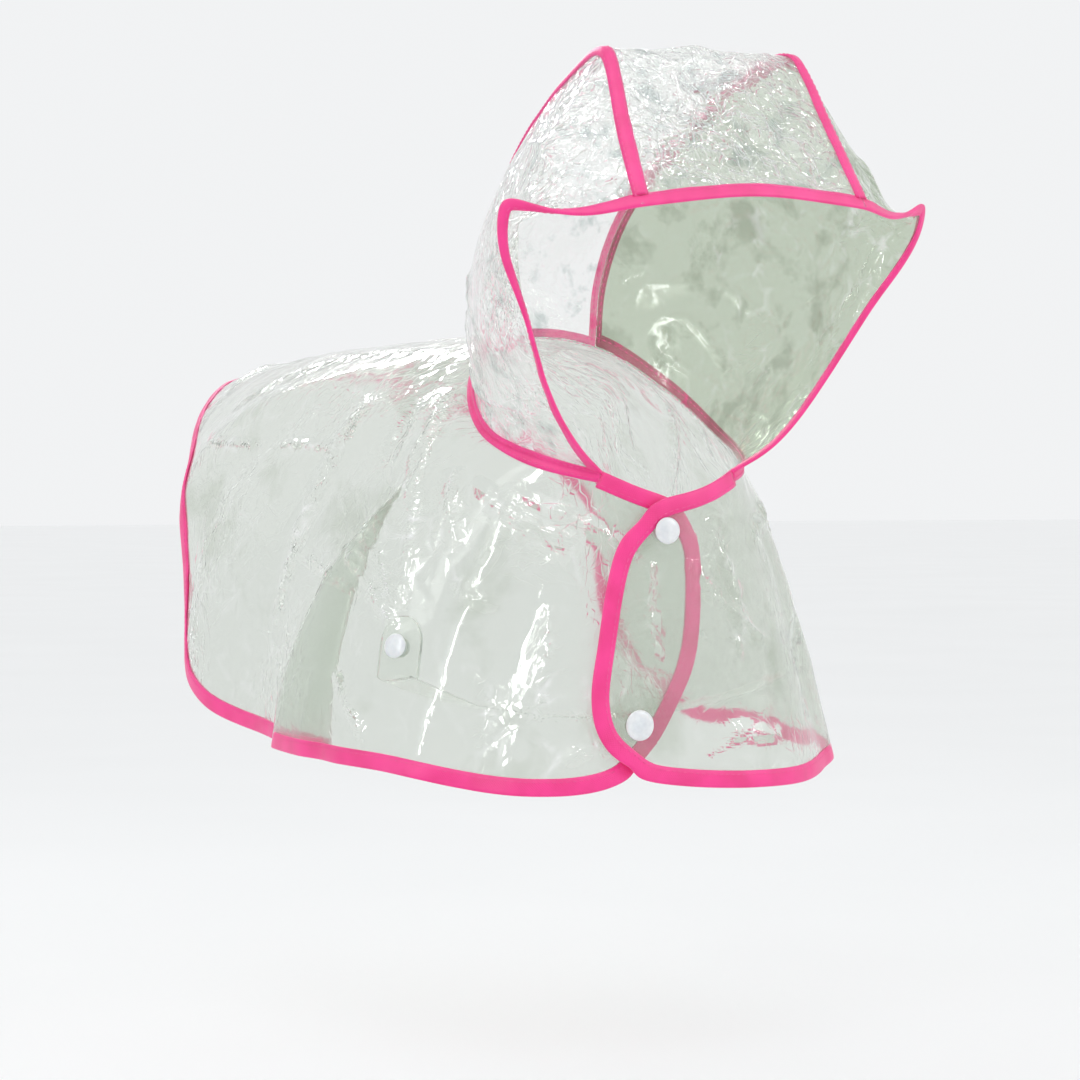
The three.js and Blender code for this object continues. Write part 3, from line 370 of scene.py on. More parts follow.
capeCreases = [
    crease(5, 1.8, (113, 0.02), (97, 0.15), (92, 0.25), (83, 0.36)),
    crease(4, 2, (123, 0.02), (99, 0.13), (84, 0.28), (74, 0.44), (68.5, 0.6)),
    crease(6, -2, (123, 0.06), (104, 0.2), (97, 0.32)),
    crease(5, 2.4, (120, 0.2), (113, 0.3), (108, 0.44), (106, 0.65), (105, 0.8)),
    crease(2.6, 1.8, (96, 0.5), (80, 0.56), (71, 0.62), (68, 0.66)),
    crease(2.4, 1.7, (85, 0.46), (76, 0.53), (70, 0.6)),
    crease(3, 1.4, (105, 0.64), (99, 0.63), (77, 0.61)),
    crease(2.4, 1.6, (121, 0.46), (110, 0.36)),
    crease(2.4, 1.5, (141, 0.78), (125, 0.51)),
    crease(4.5, 2.4, (80, 0.18), (74, 0.26), (66, 0.37)),
    crease(5, 2.6, (72, 0.19), (57, 0.216), (37.5, 0.217), (33, 0.22)),
    crease(3.5, 1.5, (64, 0.147), (39, 0.147), (22, 0.195), (6, 0.34)),
    crease(3, 1.6, (63, 0.44), (58, 0.49), (51, 0.47)),
    crease(3.5, 2, (78, 0.8), (72, 0.86), (66, 0.95)),
    crease(4, 2, (30, 0.93), (22, 0.85), (14, 0.86)),
    crease(6, -1.8, (52, 0.6), (47, 0.72), (45, 0.88)),
    crease(5, 1.5, (38, 0.42), (34, 0.6), (35, 0.78)),
    crease(5, 1.6, (370, 0.25), (371, 0.4), (366, 0.6)),
    crease(6, 1.8, (346, 0.12), (338, 0.36), (341, 0.66)),
    crease(3.5, 1.8, (356, 0.25), (342, 0.42), (326, 0.55)),
    crease(4, 1.9, (352, 0.9), (343, 0.82), (330, 0.84)),
    crease(7, 1.6, (150, 0.1), (152, 0.4), (147, 0.72)),
    crease(5, -1.5, (166, 0.08), (171, 0.36), (168, 0.6)),
    crease(6, 1.5, (184, 0.05), (188, 0.3), (186, 0.5)),
    crease(3, 1.5, (196, 0.5), (181, 0.58), (164, 0.54)),
    crease(3.5, 1.6, (176, 0.82), (164, 0.78), (157, 0.84)),
    crease(6, 1.8, (207, 0.1), (205, 0.42), (211, 0.76)),
    crease(5, 1.9, (236, 0.03), (255, 0.14), (262, 0.3)),
    crease(4.5, 2.1, (229, 0.05), (246, 0.2), (250, 0.4), (249, 0.62)),
    crease(3, 1.5, (238, 0.5), (230, 0.34)),
    crease(2.8, 1.8, (262, 0.44), (276, 0.55), (290, 0.65)),
    crease(2.6, 1.5, (270, 0.72), (281, 0.68), (290, 0.69)),
    crease(4.5, 2.2, (281, 0.16), (287, 0.28), (294, 0.4)),
    crease(5, 2.2, (290, 0.2), (306, 0.22), (322, 0.2)),
    crease(5, -1.7, (300, 0.5), (310, 0.62), (312, 0.84)),
    crease(3.5, 1.8, (286, 0.84), (292, 0.9), (299, 0.96)),
    crease(4, 1.8, (244, 0.9), (252, 0.8), (262, 0.84)),
]
sideCreases = [
    crease(2.6, 1.3, (0.16, 0.1), (0.3, 0.16), (0.62, 0.12)),
    crease(3, 1.5, (0.12, 0.14), (0.34, 0.26), (0.7, 0.3)),
    crease(2.4, 1.2, (0.2, 0.06), (0.45, 0.08), (0.8, 0.16)),
    crease(4, 1.8, (0.25, 0.55), (0.38, 0.72), (0.42, 0.9)),
    crease(3.5, -1.5, (0.5, 0.94), (0.62, 0.8), (0.6, 0.66)),
    crease(3, 1.5, (0.78, 0.94), (0.72, 0.74), (0.78, 0.52)),
    crease(3, 1.4, (0.55, 0.34), (0.62, 0.5), (0.86, 0.6)),
    crease(5, -1.4, (0.14, 0.3), (0.2, 0.52), (0.14, 0.72)),
]
middleCreases = [
    crease(3, 1.3, (0.15, 0.62), (0.4, 0.66), (0.8, 0.64)),
    crease(2.6, 1.7, (0.2, 0.93), (0.34, 0.84), (0.3, 0.74)),
    crease(3, 1.7, (0.42, 0.95), (0.5, 0.86), (0.66, 0.8)),
    crease(2.6, -1.4, (0.6, 0.93), (0.74, 0.88), (0.86, 0.78)),
    crease(2.6, 1.5, (0.12, 0.7), (0.3, 0.76), (0.5, 0.73)),
    crease(2.4, 1.5, (0.55, 0.72), (0.7, 0.76), (0.9, 0.7)),
    crease(5, 1.4, (0.3, 0.1), (0.4, 0.3), (0.32, 0.5)),
    crease(4, -1.3, (0.7, 0.14), (0.62, 0.34), (0.7, 0.54)),
]


def creaseHeight(points, surface, creases):  # height in metres of every point of a grid
    flat = points.reshape(-1, 3)
    total = np.zeros(len(flat))
    for entry in creases:
        path = np.array(entry["path"], float)
        t = np.linspace(0, 1, 14)
        knots = np.linspace(0, 1, len(path))
        line = surface(np.interp(t, knots, path[:, 0]), np.interp(t, knots, path[:, 1]))
        reach = 2.8 * entry["width"] * mm
        low, high = line.min(axis=0) - reach, line.max(axis=0) + reach
        near = np.where(np.all((flat > low) & (flat < high), axis=1))[0]
        best = np.full(len(near), 1e9)
        along = np.zeros(len(near))
        for k in range(len(t) - 1):
            way = line[k + 1] - line[k]
            share = np.clip(((flat[near] - line[k]) @ way) / (way @ way), 0, 1)
            away = np.linalg.norm(flat[near] - line[k] - share[:, None] * way, axis=1)
            closer = away < best
            best[closer] = away[closer]
            along[closer] = (k + share[closer]) / (len(t) - 1)
        fade = np.minimum(1, 4 * along * (1 - along)) ** 0.7
        across = best / (entry["width"] * mm)
        ridge = 0.6 * np.exp(-(across ** 2)) + 0.7 * np.exp(-1.8 * across)
        total[near] += entry["height"] * mm * fade * ridge
    return total.reshape(points.shape[:-1])


def ripple(points, seed, size, height):  # soft uneven waves of about the given size
    rng = np.random.default_rng(seed)
    waves = rng.normal(size=(14, 3)) * (2 * np.pi / size) * 0.6
    phases = rng.uniform(0, 2 * np.pi, 14)
    return height * np.sin(points @ waves.T + phases).sum(axis=-1) / 14 ** 0.5


# Meshes

def addObject(name, data):
    piece = bpy.data.objects.new(name, data)
    bpy.context.collection.objects.link(piece)
    return piece


def placesOf(mesh):
    places = np.empty(len(mesh.vertices) * 3)
    mesh.vertices.foreach_get("co", places)
    return places.reshape(-1, 3)


def addAlong(mesh, uvs):  # the map that the weave reads, from a pair for each vertex
    layer = mesh.uv_layers.new(name="along")
    corners = np.empty(len(mesh.loops), int)
    mesh.loops.foreach_get("vertex_index", corners)
    layer.data.foreach_set("uv", uvs[corners].ravel())


def meshObject(name, points, faces, material, uvs=None):
    mesh = bpy.data.meshes.new(name)
    mesh.from_pydata(points.reshape(-1, 3).tolist(), [], faces)
    mesh.materials.append(material)
    mesh.polygons.foreach_set("use_smooth", [True] * len(mesh.polygons))
    if uvs is not None:
        addAlong(mesh, uvs.reshape(-1, 2))
    mesh.update()
    return addObject(name, mesh)


def filmShell(name, points, normals, material, crush):  # a closed thin wall about a grid
    columns, rows = points.shape[:2]
    half = cape["filmHalf"] * mm
    walls = np.stack([points + normals * half, points - normals * half])
    index = np.arange(2 * columns * rows).reshape(2, columns, rows)
    quads = []
    for side in (0, 1):
        grid = index[side]
        q = np.stack([grid[:-1, :-1], grid[1:, :-1], grid[1:, 1:], grid[:-1, 1:]], -1).reshape(-1, 4)
        quads.append(q if side == 0 else q[:, ::-1])
    rim = [(i, 0) for i in range(columns - 1)] + [(columns - 1, j) for j in range(rows - 1)]
    rim += [(i, rows - 1) for i in range(columns - 1, 0, -1)] + [(0, j) for j in range(rows - 1, 0, -1)]
    outer = np.array([index[0][p] for p in rim])
    inner = np.array([index[1][p] for p in rim])
    quads.append(np.stack([outer, inner, np.roll(inner, -1), np.roll(outer, -1)], -1))
    piece = meshObject(name, walls, np.concatenate(quads).tolist(), material)
    turnOutwards(piece)
    layer = piece.data.attributes.new("crush", "FLOAT", "POINT")
    layer.data.foreach_set("value", np.concatenate([crush.ravel(), crush.ravel()]).astype(np.float32))
    return piece


def sweepMesh(name, rings, material, section):  # rings x points x 3, closed across and capped at the ends
    count, size = rings.shape[:2]
    index = np.arange(count * size).reshape(count, size)
    side = np.stack([index[:-1], np.roll(index, -1, 1)[:-1], np.roll(index, -1, 1)[1:], index[1:]], -1)
    faces = side.reshape(-1, 4).tolist() + [index[0][::-1].tolist(), index[-1].tolist()]
    run = runOf(rings.mean(axis=1))
    uvs = np.stack(np.broadcast_arrays(run[:, None], np.array(section)[None, :]), -1)
    piece = meshObject(name, rings, faces, material, uvs)
    turnOutwards(piece)
    return piece


def turnOutwards(piece):
    mesh = piece.data
    mesh.calc_loop_triangles()
    points = placesOf(mesh)
    corners = np.empty(len(mesh.loop_triangles) * 3, int)
    mesh.loop_triangles.foreach_get("vertices", corners)
    a, b, c = (points[corners.reshape(-1, 3)[:, k]] for k in range(3))
    if np.einsum("ij,ij->i", a, np.cross(b, c)).sum() < 0:
        mesh.flip_normals()


def crumple(points, seed, size, height):  # sharp facets between straight creases, as in crushed film
    rng = np.random.default_rng(seed)
    total = np.zeros(points.shape[:-1])
    warp = np.stack([ripple(points, seed + 1 + k, 2.2 * size, 0.16 * size) for k in range(3)], -1)
    for _ in range(7):
        way = unit(rng.normal(size=3))
        step = (points + warp) @ way / (size * rng.uniform(0.7, 1.5)) + rng.uniform(0, 1)
        mask = 0.5 + 0.5 * np.sin(points @ rng.normal(size=3) * 2.4 / size + rng.uniform(0, 6))
        total += (np.abs(step - np.floor(step) - 0.5) - 0.25) * mask
    return total * height


def edgeFade(points, rim, reach):  # 0 at the rim, 1 beyond the reach
    tree = KDTree(len(rim))
    for k, p in enumerate(rim):
        tree.insert(Vector(p), k)
    tree.balance()
    away = np.array([tree.find(Vector(p))[2] for p in points.reshape(-1, 3)])
    return ease(away / reach).reshape(points.shape[:-1])


def rimOf(points):
    return np.concatenate([points[:, 0], points[-1], points[::-1, -1], points[0, ::-1]])


# Shader groups: fine film crinkle with painted glints and painted dark reflections, cloth weave with painted
# shade where its threads dip, and soft colour drift
def newGroup(name, inputs, outputs):
    group = bpy.data.node_groups.new(name, "ShaderNodeTree")
    for label, kind, value in inputs:
        socket = group.interface.new_socket(label, in_out="INPUT", socket_type=kind)
        if value is not None:
            socket.default_value = value
    for label, kind in outputs:
        group.interface.new_socket(label, in_out="OUTPUT", socket_type=kind)
    return group, group.nodes.new("NodeGroupInput"), group.nodes.new("NodeGroupOutput")


def feed(tree, socket, value):  # a number is set, an output is linked
    if isinstance(value, (int, float)):
        socket.default_value = value
    elif value is not None:
        tree.links.new(value, socket)


def mathNode(tree, operation, a, b=None, clamp=False):
    node = tree.nodes.new("ShaderNodeMath")
    node.operation = operation
    node.use_clamp = clamp
    feed(tree, node.inputs[0], a)
    feed(tree, node.inputs[1], b)
    return node.outputs[0]


def product(tree, a, b, clamp=False):
    return mathNode(tree, "MULTIPLY", a, b, clamp)


def rampNode(tree, source, stops):
    node = tree.nodes.new("ShaderNodeValToRGB")
    ramp = node.color_ramp
    while len(ramp.elements) < len(stops):
        ramp.elements.new(0.5)
    for element, (at, colour) in zip(ramp.elements, stops):
        element.position = at
        element.color = (*colour, 1)
    tree.links.new(source, node.inputs[0])
    return node.outputs[0]


def noiseNode(tree, vector, scale, detail=2.0, rough=0.5):
    node = tree.nodes.new("ShaderNodeTexNoise")
    node.inputs["Detail"].default_value = detail
    node.inputs["Roughness"].default_value = rough
    feed(tree, node.inputs["Vector"], vector)
    feed(tree, node.inputs["Scale"], scale)
    return node


def buildCrinkleGroup():  # creases between crushed cells: height for bump, where painted glints sit, and patches of painted dark reflections
    group, given, result = newGroup(
        "filmCrinkle",
        [("Vector", "NodeSocketVector", None), ("Scale", "NodeSocketFloat", 60),
         ("Crush", "NodeSocketFloat", 0.5), ("Marks", "NodeSocketFloat", 24)],
        [("Height", "NodeSocketFloat"), ("Glint", "NodeSocketFloat"), ("PaintedDarkMarks", "NodeSocketFloat")],
    )
    drift = noiseNode(group, given.outputs["Vector"], 18, 3)
    mix = group.nodes.new("ShaderNodeVectorMath")
    mix.operation = "MULTIPLY_ADD"
    group.links.new(drift.outputs["Color"], mix.inputs[0])
    mix.inputs[1].default_value = (0.03, 0.03, 0.03)
    group.links.new(given.outputs["Vector"], mix.inputs[2])
    heights = []
    for factor in (1.0, 2.3):
        cells = group.nodes.new("ShaderNodeTexVoronoi")
        cells.feature = "DISTANCE_TO_EDGE"
        group.links.new(mix.outputs[0], cells.inputs["Vector"])
        group.links.new(product(group, given.outputs["Scale"], factor), cells.inputs["Scale"])
        heights.append(mathNode(group, "MINIMUM", cells.outputs["Distance"], 0.22))
    fine = product(group, heights[1], 0.45)
    both = mathNode(group, "ADD", heights[0], fine)
    group.links.new(product(group, both, given.outputs["Crush"]), result.inputs["Height"])
    # painted glints: thin lines along the crinkle edges, broken up by spots, where the colour is turned white
    sharp = mathNode(group, "SUBTRACT", 1.0, product(group, both, 7.0), clamp=True)
    spots = noiseNode(group, given.outputs["Vector"], 55, 2)
    above = mathNode(group, "SUBTRACT", spots.outputs["Fac"], 0.45)
    keep = product(group, above, 7.0, clamp=True)
    glint = product(group, product(group, sharp, keep), given.outputs["Crush"], clamp=True)
    group.links.new(glint, result.inputs["Glint"])
    # painted dark reflections of the surroundings: soft wide patches that pull the colour towards the shade
    # colour
    wide = noiseNode(group, mix.outputs[0], given.outputs["Marks"], 4, 0.6)
    patch = product(group, mathNode(group, "SUBTRACT", wide.outputs["Fac"], 0.5), 6, clamp=True)
    group.links.new(patch, result.inputs["PaintedDarkMarks"])
    return group


def buildWeaveGroup():  # plain weave on a UV map in metres: threads over and under; Shade is random drift with painted shade where the threads dip
    group, given, result = newGroup(
        "bindingWeave",
        [("Vector", "NodeSocketVector", None), ("Threads", "NodeSocketFloat", 1600)],
        [("Height", "NodeSocketFloat"), ("Shade", "NodeSocketFloat")],
    )
    split = group.nodes.new("ShaderNodeSeparateXYZ")
    group.links.new(given.outputs["Vector"], split.inputs[0])
    waves = []
    for axis in (0, 1):
        run = product(group, split.outputs[axis], given.outputs["Threads"])
        waves.append(mathNode(group, "SINE", product(group, run, np.pi)))
    crossed = product(group, waves[0], waves[1])
    grain = noiseNode(group, given.outputs["Vector"], 900, 2)
    height = mathNode(group, "ADD", product(group, crossed, 0.5), grain.outputs["Fac"])
    group.links.new(height, result.inputs["Height"])
    drift = noiseNode(group, given.outputs["Vector"], 60, 3)
    # painted shade: the colour follows the weave's height, darker where the threads dip
    weaveDipShade = product(group, crossed, 0.12)
    shade = mathNode(group, "ADD", weaveDipShade, drift.outputs["Fac"], clamp=True)
    group.links.new(shade, result.inputs["Shade"])
    return group


crinkleGroup = buildCrinkleGroup()
weaveGroup = buildWeaveGroup()


def newMaterial(name):
    look = bpy.data.materials.new(name)
    look.use_nodes = True
    tree = look.node_tree
    tree.nodes.clear()
    shader = tree.nodes.new("ShaderNodeBsdfPrincipled")
    end = tree.nodes.new("ShaderNodeOutputMaterial")
    tree.links.new(shader.outputs[0], end.inputs["Surface"])
    return look, tree, shader, end


def bumpNode(tree, height, strength, distance):
    node = tree.nodes.new("ShaderNodeBump")
    node.inputs["Strength"].default_value = strength
    node.inputs["Distance"].default_value = distance
    tree.links.new(height, node.inputs["Height"])
    return node.outputs[0]


# tint is the film's own colour; shade is the colour of its painted dark reflections, and glints are painted
# white on top
filmFinish = {
    "clear": {
        "tint": (0.79, 0.82, 0.77), "shade": (0.68, 0.72, 0.65),
        "crush": 0.8, "scale": 42, "marks": 20,
    },
    "crushed": {
        "tint": (0.985, 0.99, 0.985), "shade": (0.7, 0.75, 0.74),
        "crush": 1.0, "scale": 70, "marks": 70,
    },
    # a darker copy of the film for the far side of the hood: painted shade
    "shadedOlive": {
        "tint": (0.6, 0.67, 0.55), "shade": (0.44, 0.5, 0.39),
        "crush": 0.8, "scale": 50, "marks": 40,
    },
    "strap": {
        "tint": (0.94, 0.955, 0.935), "shade": (0.9, 0.92, 0.89),
        "crush": 0.2, "scale": 30, "marks": 20,
    },
}


fullBounces = 4.5  # a path with more bounces than this sees a film that only tints


def buildFilm(name, finish):
    look, tree, shader, end = newMaterial(name)
    place = tree.nodes.new("ShaderNodeTexCoord").outputs["Object"]
    crinkle = tree.nodes.new("ShaderNodeGroup")
    crinkle.node_tree = crinkleGroup
    tree.links.new(place, crinkle.inputs["Vector"])
    crinkle.inputs["Scale"].default_value = finish["scale"]
    crinkle.inputs["Marks"].default_value = finish["marks"]
    crush = tree.nodes.new("ShaderNodeAttribute")
    crush.attribute_name = "crush"
    tree.links.new(product(tree, crush.outputs["Fac"], finish["crush"]), crinkle.inputs["Crush"])
    # film tint with painted dark reflections in the patches
    tone = rampNode(tree, crinkle.outputs["PaintedDarkMarks"], [(0.1, finish["tint"]), (1, finish["shade"])])
    # painted glints: the base colour goes to white along the glint mask
    paintedGlints = tree.nodes.new("ShaderNodeMix")
    paintedGlints.data_type = "RGBA"
    tree.links.new(crinkle.outputs["Glint"], paintedGlints.inputs["Factor"])
    tree.links.new(tone, paintedGlints.inputs[6])
    paintedGlints.inputs[7].default_value = (1, 1, 1, 1)
    tree.links.new(paintedGlints.outputs[2], shader.inputs["Base Color"])
    shader.inputs["Transmission Weight"].default_value = 0.9
    shader.inputs["Roughness"].default_value = 0.06
    shader.inputs["IOR"].default_value = 1.45
    tree.links.new(bumpNode(tree, crinkle.outputs["Height"], 0.8, 0.006), shader.inputs["Normal"])
    through = tree.nodes.new("ShaderNodeBsdfTransparent")
    through.inputs[0].default_value = (0.93, 0.95, 0.93, 1)
    rays = tree.nodes.new("ShaderNodeLightPath")
    unseen = mathNode(tree, "ADD", rays.outputs["Is Shadow Ray"], rays.outputs["Is Diffuse Ray"])
    deep = mathNode(tree, "GREATER_THAN", rays.outputs["Ray Depth"], fullBounces)
    mix = tree.nodes.new("ShaderNodeMixShader")
    tree.links.new(mathNode(tree, "ADD", unseen, deep, clamp=True), mix.inputs[0])
    tree.links.new(shader.outputs[0], mix.inputs[1])
    tree.links.new(through.outputs[0], mix.inputs[2])
    tree.links.new(mix.outputs[0], end.inputs["Surface"])
    return look


def buildBinding(name, base, driftAndDipShade):
    look, tree, shader = newMaterial(name)[:3]
    along = tree.nodes.new("ShaderNodeUVMap")
    along.uv_map = "along"
    weave = tree.nodes.new("ShaderNodeGroup")
    weave.node_tree = weaveGroup
    tree.links.new(along.outputs[0], weave.inputs["Vector"])
    # darker pink where the weave dips, painted shade, and in the random drift
    tone = rampNode(tree, weave.outputs["Shade"], [(0.3, driftAndDipShade), (0.6, base)])
    tree.links.new(tone, shader.inputs["Base Color"])
    shader.inputs["Roughness"].default_value = 0.5
    shader.inputs["Sheen Weight"].default_value = 0.25
    tree.links.new(bumpNode(tree, weave.outputs["Height"], 0.35, 0.0003), shader.inputs["Normal"])
    return look


def buildPlastic(name, base, shade):
    look, tree, shader = newMaterial(name)[:3]
    place = tree.nodes.new("ShaderNodeTexCoord").outputs["Object"]
    drift = noiseNode(tree, place, 240, 3)
    tone = rampNode(tree, drift.outputs["Fac"], [(0.3, shade), (0.65, base)])
    tree.links.new(tone, shader.inputs["Base Color"])
    grain = noiseNode(tree, place, 1500, 2)
    rough = mathNode(tree, "ADD", product(tree, grain.outputs["Fac"], 0.12), 0.24)
    tree.links.new(rough, shader.inputs["Roughness"])
    shader.inputs["Subsurface Weight"].default_value = 0.08
    tree.links.new(bumpNode(tree, grain.outputs["Fac"], 0.12, 0.0002), shader.inputs["Normal"])
    return look


filmLook = buildFilm("clearFilm", filmFinish["clear"])
crushedLook = buildFilm("crushedFilm", filmFinish["crushed"])
shadedOliveLook = buildFilm("shadedOliveFilm", filmFinish["shadedOlive"])
strapLook = buildFilm("strapFilm", filmFinish["strap"])
bindingLook = buildBinding("pinkBinding", (1.0, 0.035, 0.3), (0.86, 0.02, 0.22))
threadLook = buildBinding("pinkThread", (0.95, 0.09, 0.36), (0.8, 0.04, 0.26))
snapLook = buildPlastic("whiteSnap", (0.86, 0.87, 0.88), (0.74, 0.75, 0.77))
print("materials built")


# Cape film
def spread(pairs):
    parts = [np.linspace(a, b, count, endpoint=False) for a, b, count in pairs]
    return np.concatenate(parts)


def cosine(a, b, count, endpoint=False):  # close together near a
    t = np.linspace(0, 1, count, endpoint=endpoint)
    return a + (b - a) * (1 - np.cos(0.5 * np.pi * t))


capeColumns = np.concatenate([
    cosine(cape["firstColumn"], 27, 20),
    spread([(27, 38.4, 10), (38.4, 68, 34), (68, 80, 14), (80, 94, 50), (94, 116, 26), (116, 140, 34)]),
    spread([(140, 150, 10), (150, 210, 48), (210, 220, 8), (220, 244, 34), (244, 280, 36), (280, 327.8, 46)]),
    spread([(327.8, 350, 18)]),
    cosine(cape["lastColumn"], 350, 22, endpoint=True)[::-1],
])


def capeGrid():
    column = capeColumns[:, None]
    rows = np.linspace(0, 1, cape["rows"] + 1)[None, :]
    top, bottom = topOf(column), bottomOf(column)
    down = top + (bottom - top) * rows
    at = angleOf(column, down)
    return at, down


def buildCape():
    at, down = capeGrid()
    flat = capeSurface(at, down)
    normals = capeNormal(at, down)
    fade = edgeFade(flat, rimOf(flat), 12 * mm)
    rise = creaseHeight(flat, capeSurface, capeCreases)
    ripples = ripple(flat, 4, 0.06, 0.35 * mm) + ripple(flat, 9, 0.022, 0.14 * mm)
    crushed = np.clip(np.abs(rise) / (2 * mm) + 0.25 + ripple(flat, 31, 0.09, 0.25), 0.05, 1)
    points = flat + normals * ((rise + ripples) * fade)[..., None]
    points += normals * (crumple(flat, 17, 0.03, 0.5 * mm) * fade * crushed)[..., None]
    return filmShell("capeFilm", points, normals, filmLook, crushed)


capeFilm = buildCape()
print("cape film built")


# Hood film: each panel with its creases and crushed film, still at the seams
crushAmount = {
    "hoodRight": {"from": 0.3, "least": 0.2, "most": 0.95, "height": 1.1, "size": 0.024},
    "hoodLeft": {"from": 0.35, "least": 0.15, "most": 0.8, "height": 1.0, "size": 0.026},
    "hoodMiddle": {"from": 0.25, "least": 0.45, "most": 1.0, "height": 1.5, "size": 0.02},
}


brimCorner = {"reach": 6, "cut": 3.6}


def buildPanel(name, creases, seed, look, counts):
    panel = panels[name]
    u, v = np.meshgrid(np.linspace(0, 1, counts[0]), np.linspace(0, 1, counts[1]), indexing="ij")
    surface = panel["surface"]
    flat = surface(u, v)
    normals = normalOf(surface, u, v, 0.01, 0.01) * panel["sign"]
    fade = edgeFade(flat, rimOf(flat), 10 * mm)
    amount = crushAmount[name]
    rise = creaseHeight(flat, surface, creases)
    crush = amount["least"] + (amount["most"] - amount["least"]) * ease((v - amount["from"]) / 0.35)
    crush = np.clip(crush + ripple(flat, seed + 5, 0.05, 0.2), 0.05, 1)
    rise = rise + crumple(flat, seed, amount["size"], amount["height"] * mm) * crush
    rise += ripple(flat, seed + 3, 0.05, 0.3 * mm)
    points = flat + normals * (rise * fade)[..., None]
    if name != "hoodMiddle":  # the brim corner is cut round under its tape
        away = np.linalg.norm(flat - flat[-1, -1], axis=-1) / (brimCorner["reach"] * mm)
        inside = unit(flat[-12, -12] - flat[-1, -1])
        points = points + inside * (brimCorner["cut"] * mm * np.exp(-(away ** 2)))[..., None]
    return filmShell(name + "Film", points, normals, look, crush)


mirroredCreases = [dict(c, path=[(u, 0.98 * v) for u, v in c["path"]]) for c in sideCreases[::-1]]
hoodRightFilm = buildPanel("hoodRight", sideCreases, 41, crushedLook, hood["sideGrid"])
# the far side of the hood takes the darker film copy with painted shade
hoodLeftFilm = buildPanel("hoodLeft", mirroredCreases, 57, shadedOliveLook, hood["sideGrid"])
hoodMiddleFilm = buildPanel("hoodMiddle", middleCreases, 73, crushedLook, hood["middleGrid"])
print("hood film built")


# Binding tape: a folded strip of cloth round each edge, and a flat one over each seam
binding = {
    "edgeWidth": 7.5,
    "faceWidth": 6,
    "neckHalf": 5,
    "seamHalf": 3.6,
    "step": 2.2,
    "thickness": 0.75,
    "film": 0.32,
    "tip": 1.1,
    "pucker": 0.18,
    "flatLow": 0.4,
    "cornerRounds": 22,
}
foldedTop = binding["film"] + binding["thickness"] + 0.12
flatTop = binding["flatLow"] + binding["thickness"] + 0.28
stitchSunk = 0.05


def inward(at, down, along, distance):  # places at a distance in the surface, square to the edge
    goal = capeSurface(at, down) + unit(np.cross(along, capeNormal(at, down))) * distance
    nowAt, nowDown = np.array(at, float), down - 0.01 * np.sign(down - 0.5)
    for _ in range(14):
        here = capeSurface(nowAt, nowDown)
        off = goal - here
        perDegree = (capeSurface(nowAt + 0.05, nowDown) - here) / 0.05
        perShare = (capeSurface(nowAt, nowDown - 0.001) - here) / -0.1  # for a hundredth of the way down
        aa, ab, bb = (np.einsum("...i,...i", *pair) for pair in (
            (perDegree, perDegree), (perDegree, perShare), (perShare, perShare)))
        wantA, wantB = np.einsum("...i,...i", off, perDegree), np.einsum("...i,...i", off, perShare)
        aa, bb = aa + 0.03 * (aa + bb), bb + 0.03 * (aa + bb)
        det = aa * bb - ab * ab
        nowAt = nowAt + np.clip((wantA * bb - wantB * ab) / det, -1.5, 1.5)
        nowDown = np.clip(nowDown + 0.01 * np.clip((wantB * aa - wantA * ab) / det, -2, 2), 0.002, 0.998)
    return nowAt, nowDown


def capeOutlinePlaces():  # (angle, down) round the outer edge, about evenly spaced
    columns = np.linspace(0, 1, 400)
    turn = 0.5 * np.pi * columns
    throatR = throatColumns[0] + (cape["firstColumn"] - throatColumns[0]) * np.sin(turn)
    throatL = cape["lastColumn"] + (throatColumns[1] - cape["lastColumn"]) * (1 - np.cos(turn))
    hem = np.concatenate([
        cosine(cape["firstColumn"], 60, 500), np.linspace(60, 300, 2500, endpoint=False),
        cosine(cape["lastColumn"], 300, 500, endpoint=True)[::-1],
    ])
    sideDown = np.linspace(0, 1, 500)
    runs = [(throatR, topOf(throatR))]
    first, last = np.full(500, float(cape["firstColumn"])), np.full(500, float(cape["lastColumn"]))
    topR, lowR = topOf(first[:1])[0], bottomOf(first[:1])[0]
    topL, lowL = topOf(last[:1])[0], bottomOf(last[:1])[0]
    runs.append((first, topR + (lowR - topR) * sideDown))
    runs.append((hem, bottomOf(hem)))
    runs.append((last, lowL + (topL - lowL) * sideDown))
    runs.append((throatL, topOf(throatL)))
    column = np.concatenate([r[0] for r in runs])
    down = np.concatenate([r[1] for r in runs])
    at = angleOf(column, down)
    points = capeSurface(at, down)
    run = runOf(points)
    even = np.linspace(0, run[-1], int(run[-1] / (binding["step"] * mm)))
    return np.interp(even, run, at), np.interp(even, run, down)


def smoothRun(values, rounds):
    for _ in range(rounds):
        middle = 0.25 * values[:-2] + 0.5 * values[1:-1] + 0.25 * values[2:]
        values = np.concatenate([values[:1], middle, values[-1:]])
    return values


def foldedSection(width):  # across from the edge and height off the film, in mm, all round the fold
    film, top = binding["film"], binding["film"] + binding["thickness"]
    upper = [(width, film), (width + 0.15, 0.5 * (film + top)), (width - 0.1, top - 0.08)]
    upper += [(0.72 * width, top + 0.1), (0.4 * width, top + 0.12), (0.12 * width, top + 0.02)]
    upper += [(-0.5 * binding["tip"], 0.8 * top), (-0.92 * binding["tip"], 0.4 * top)]
    lower = [(a, -h) for a, h in upper[::-1]]
    return upper + lower + [(0.3, -film), (0.3, film)]


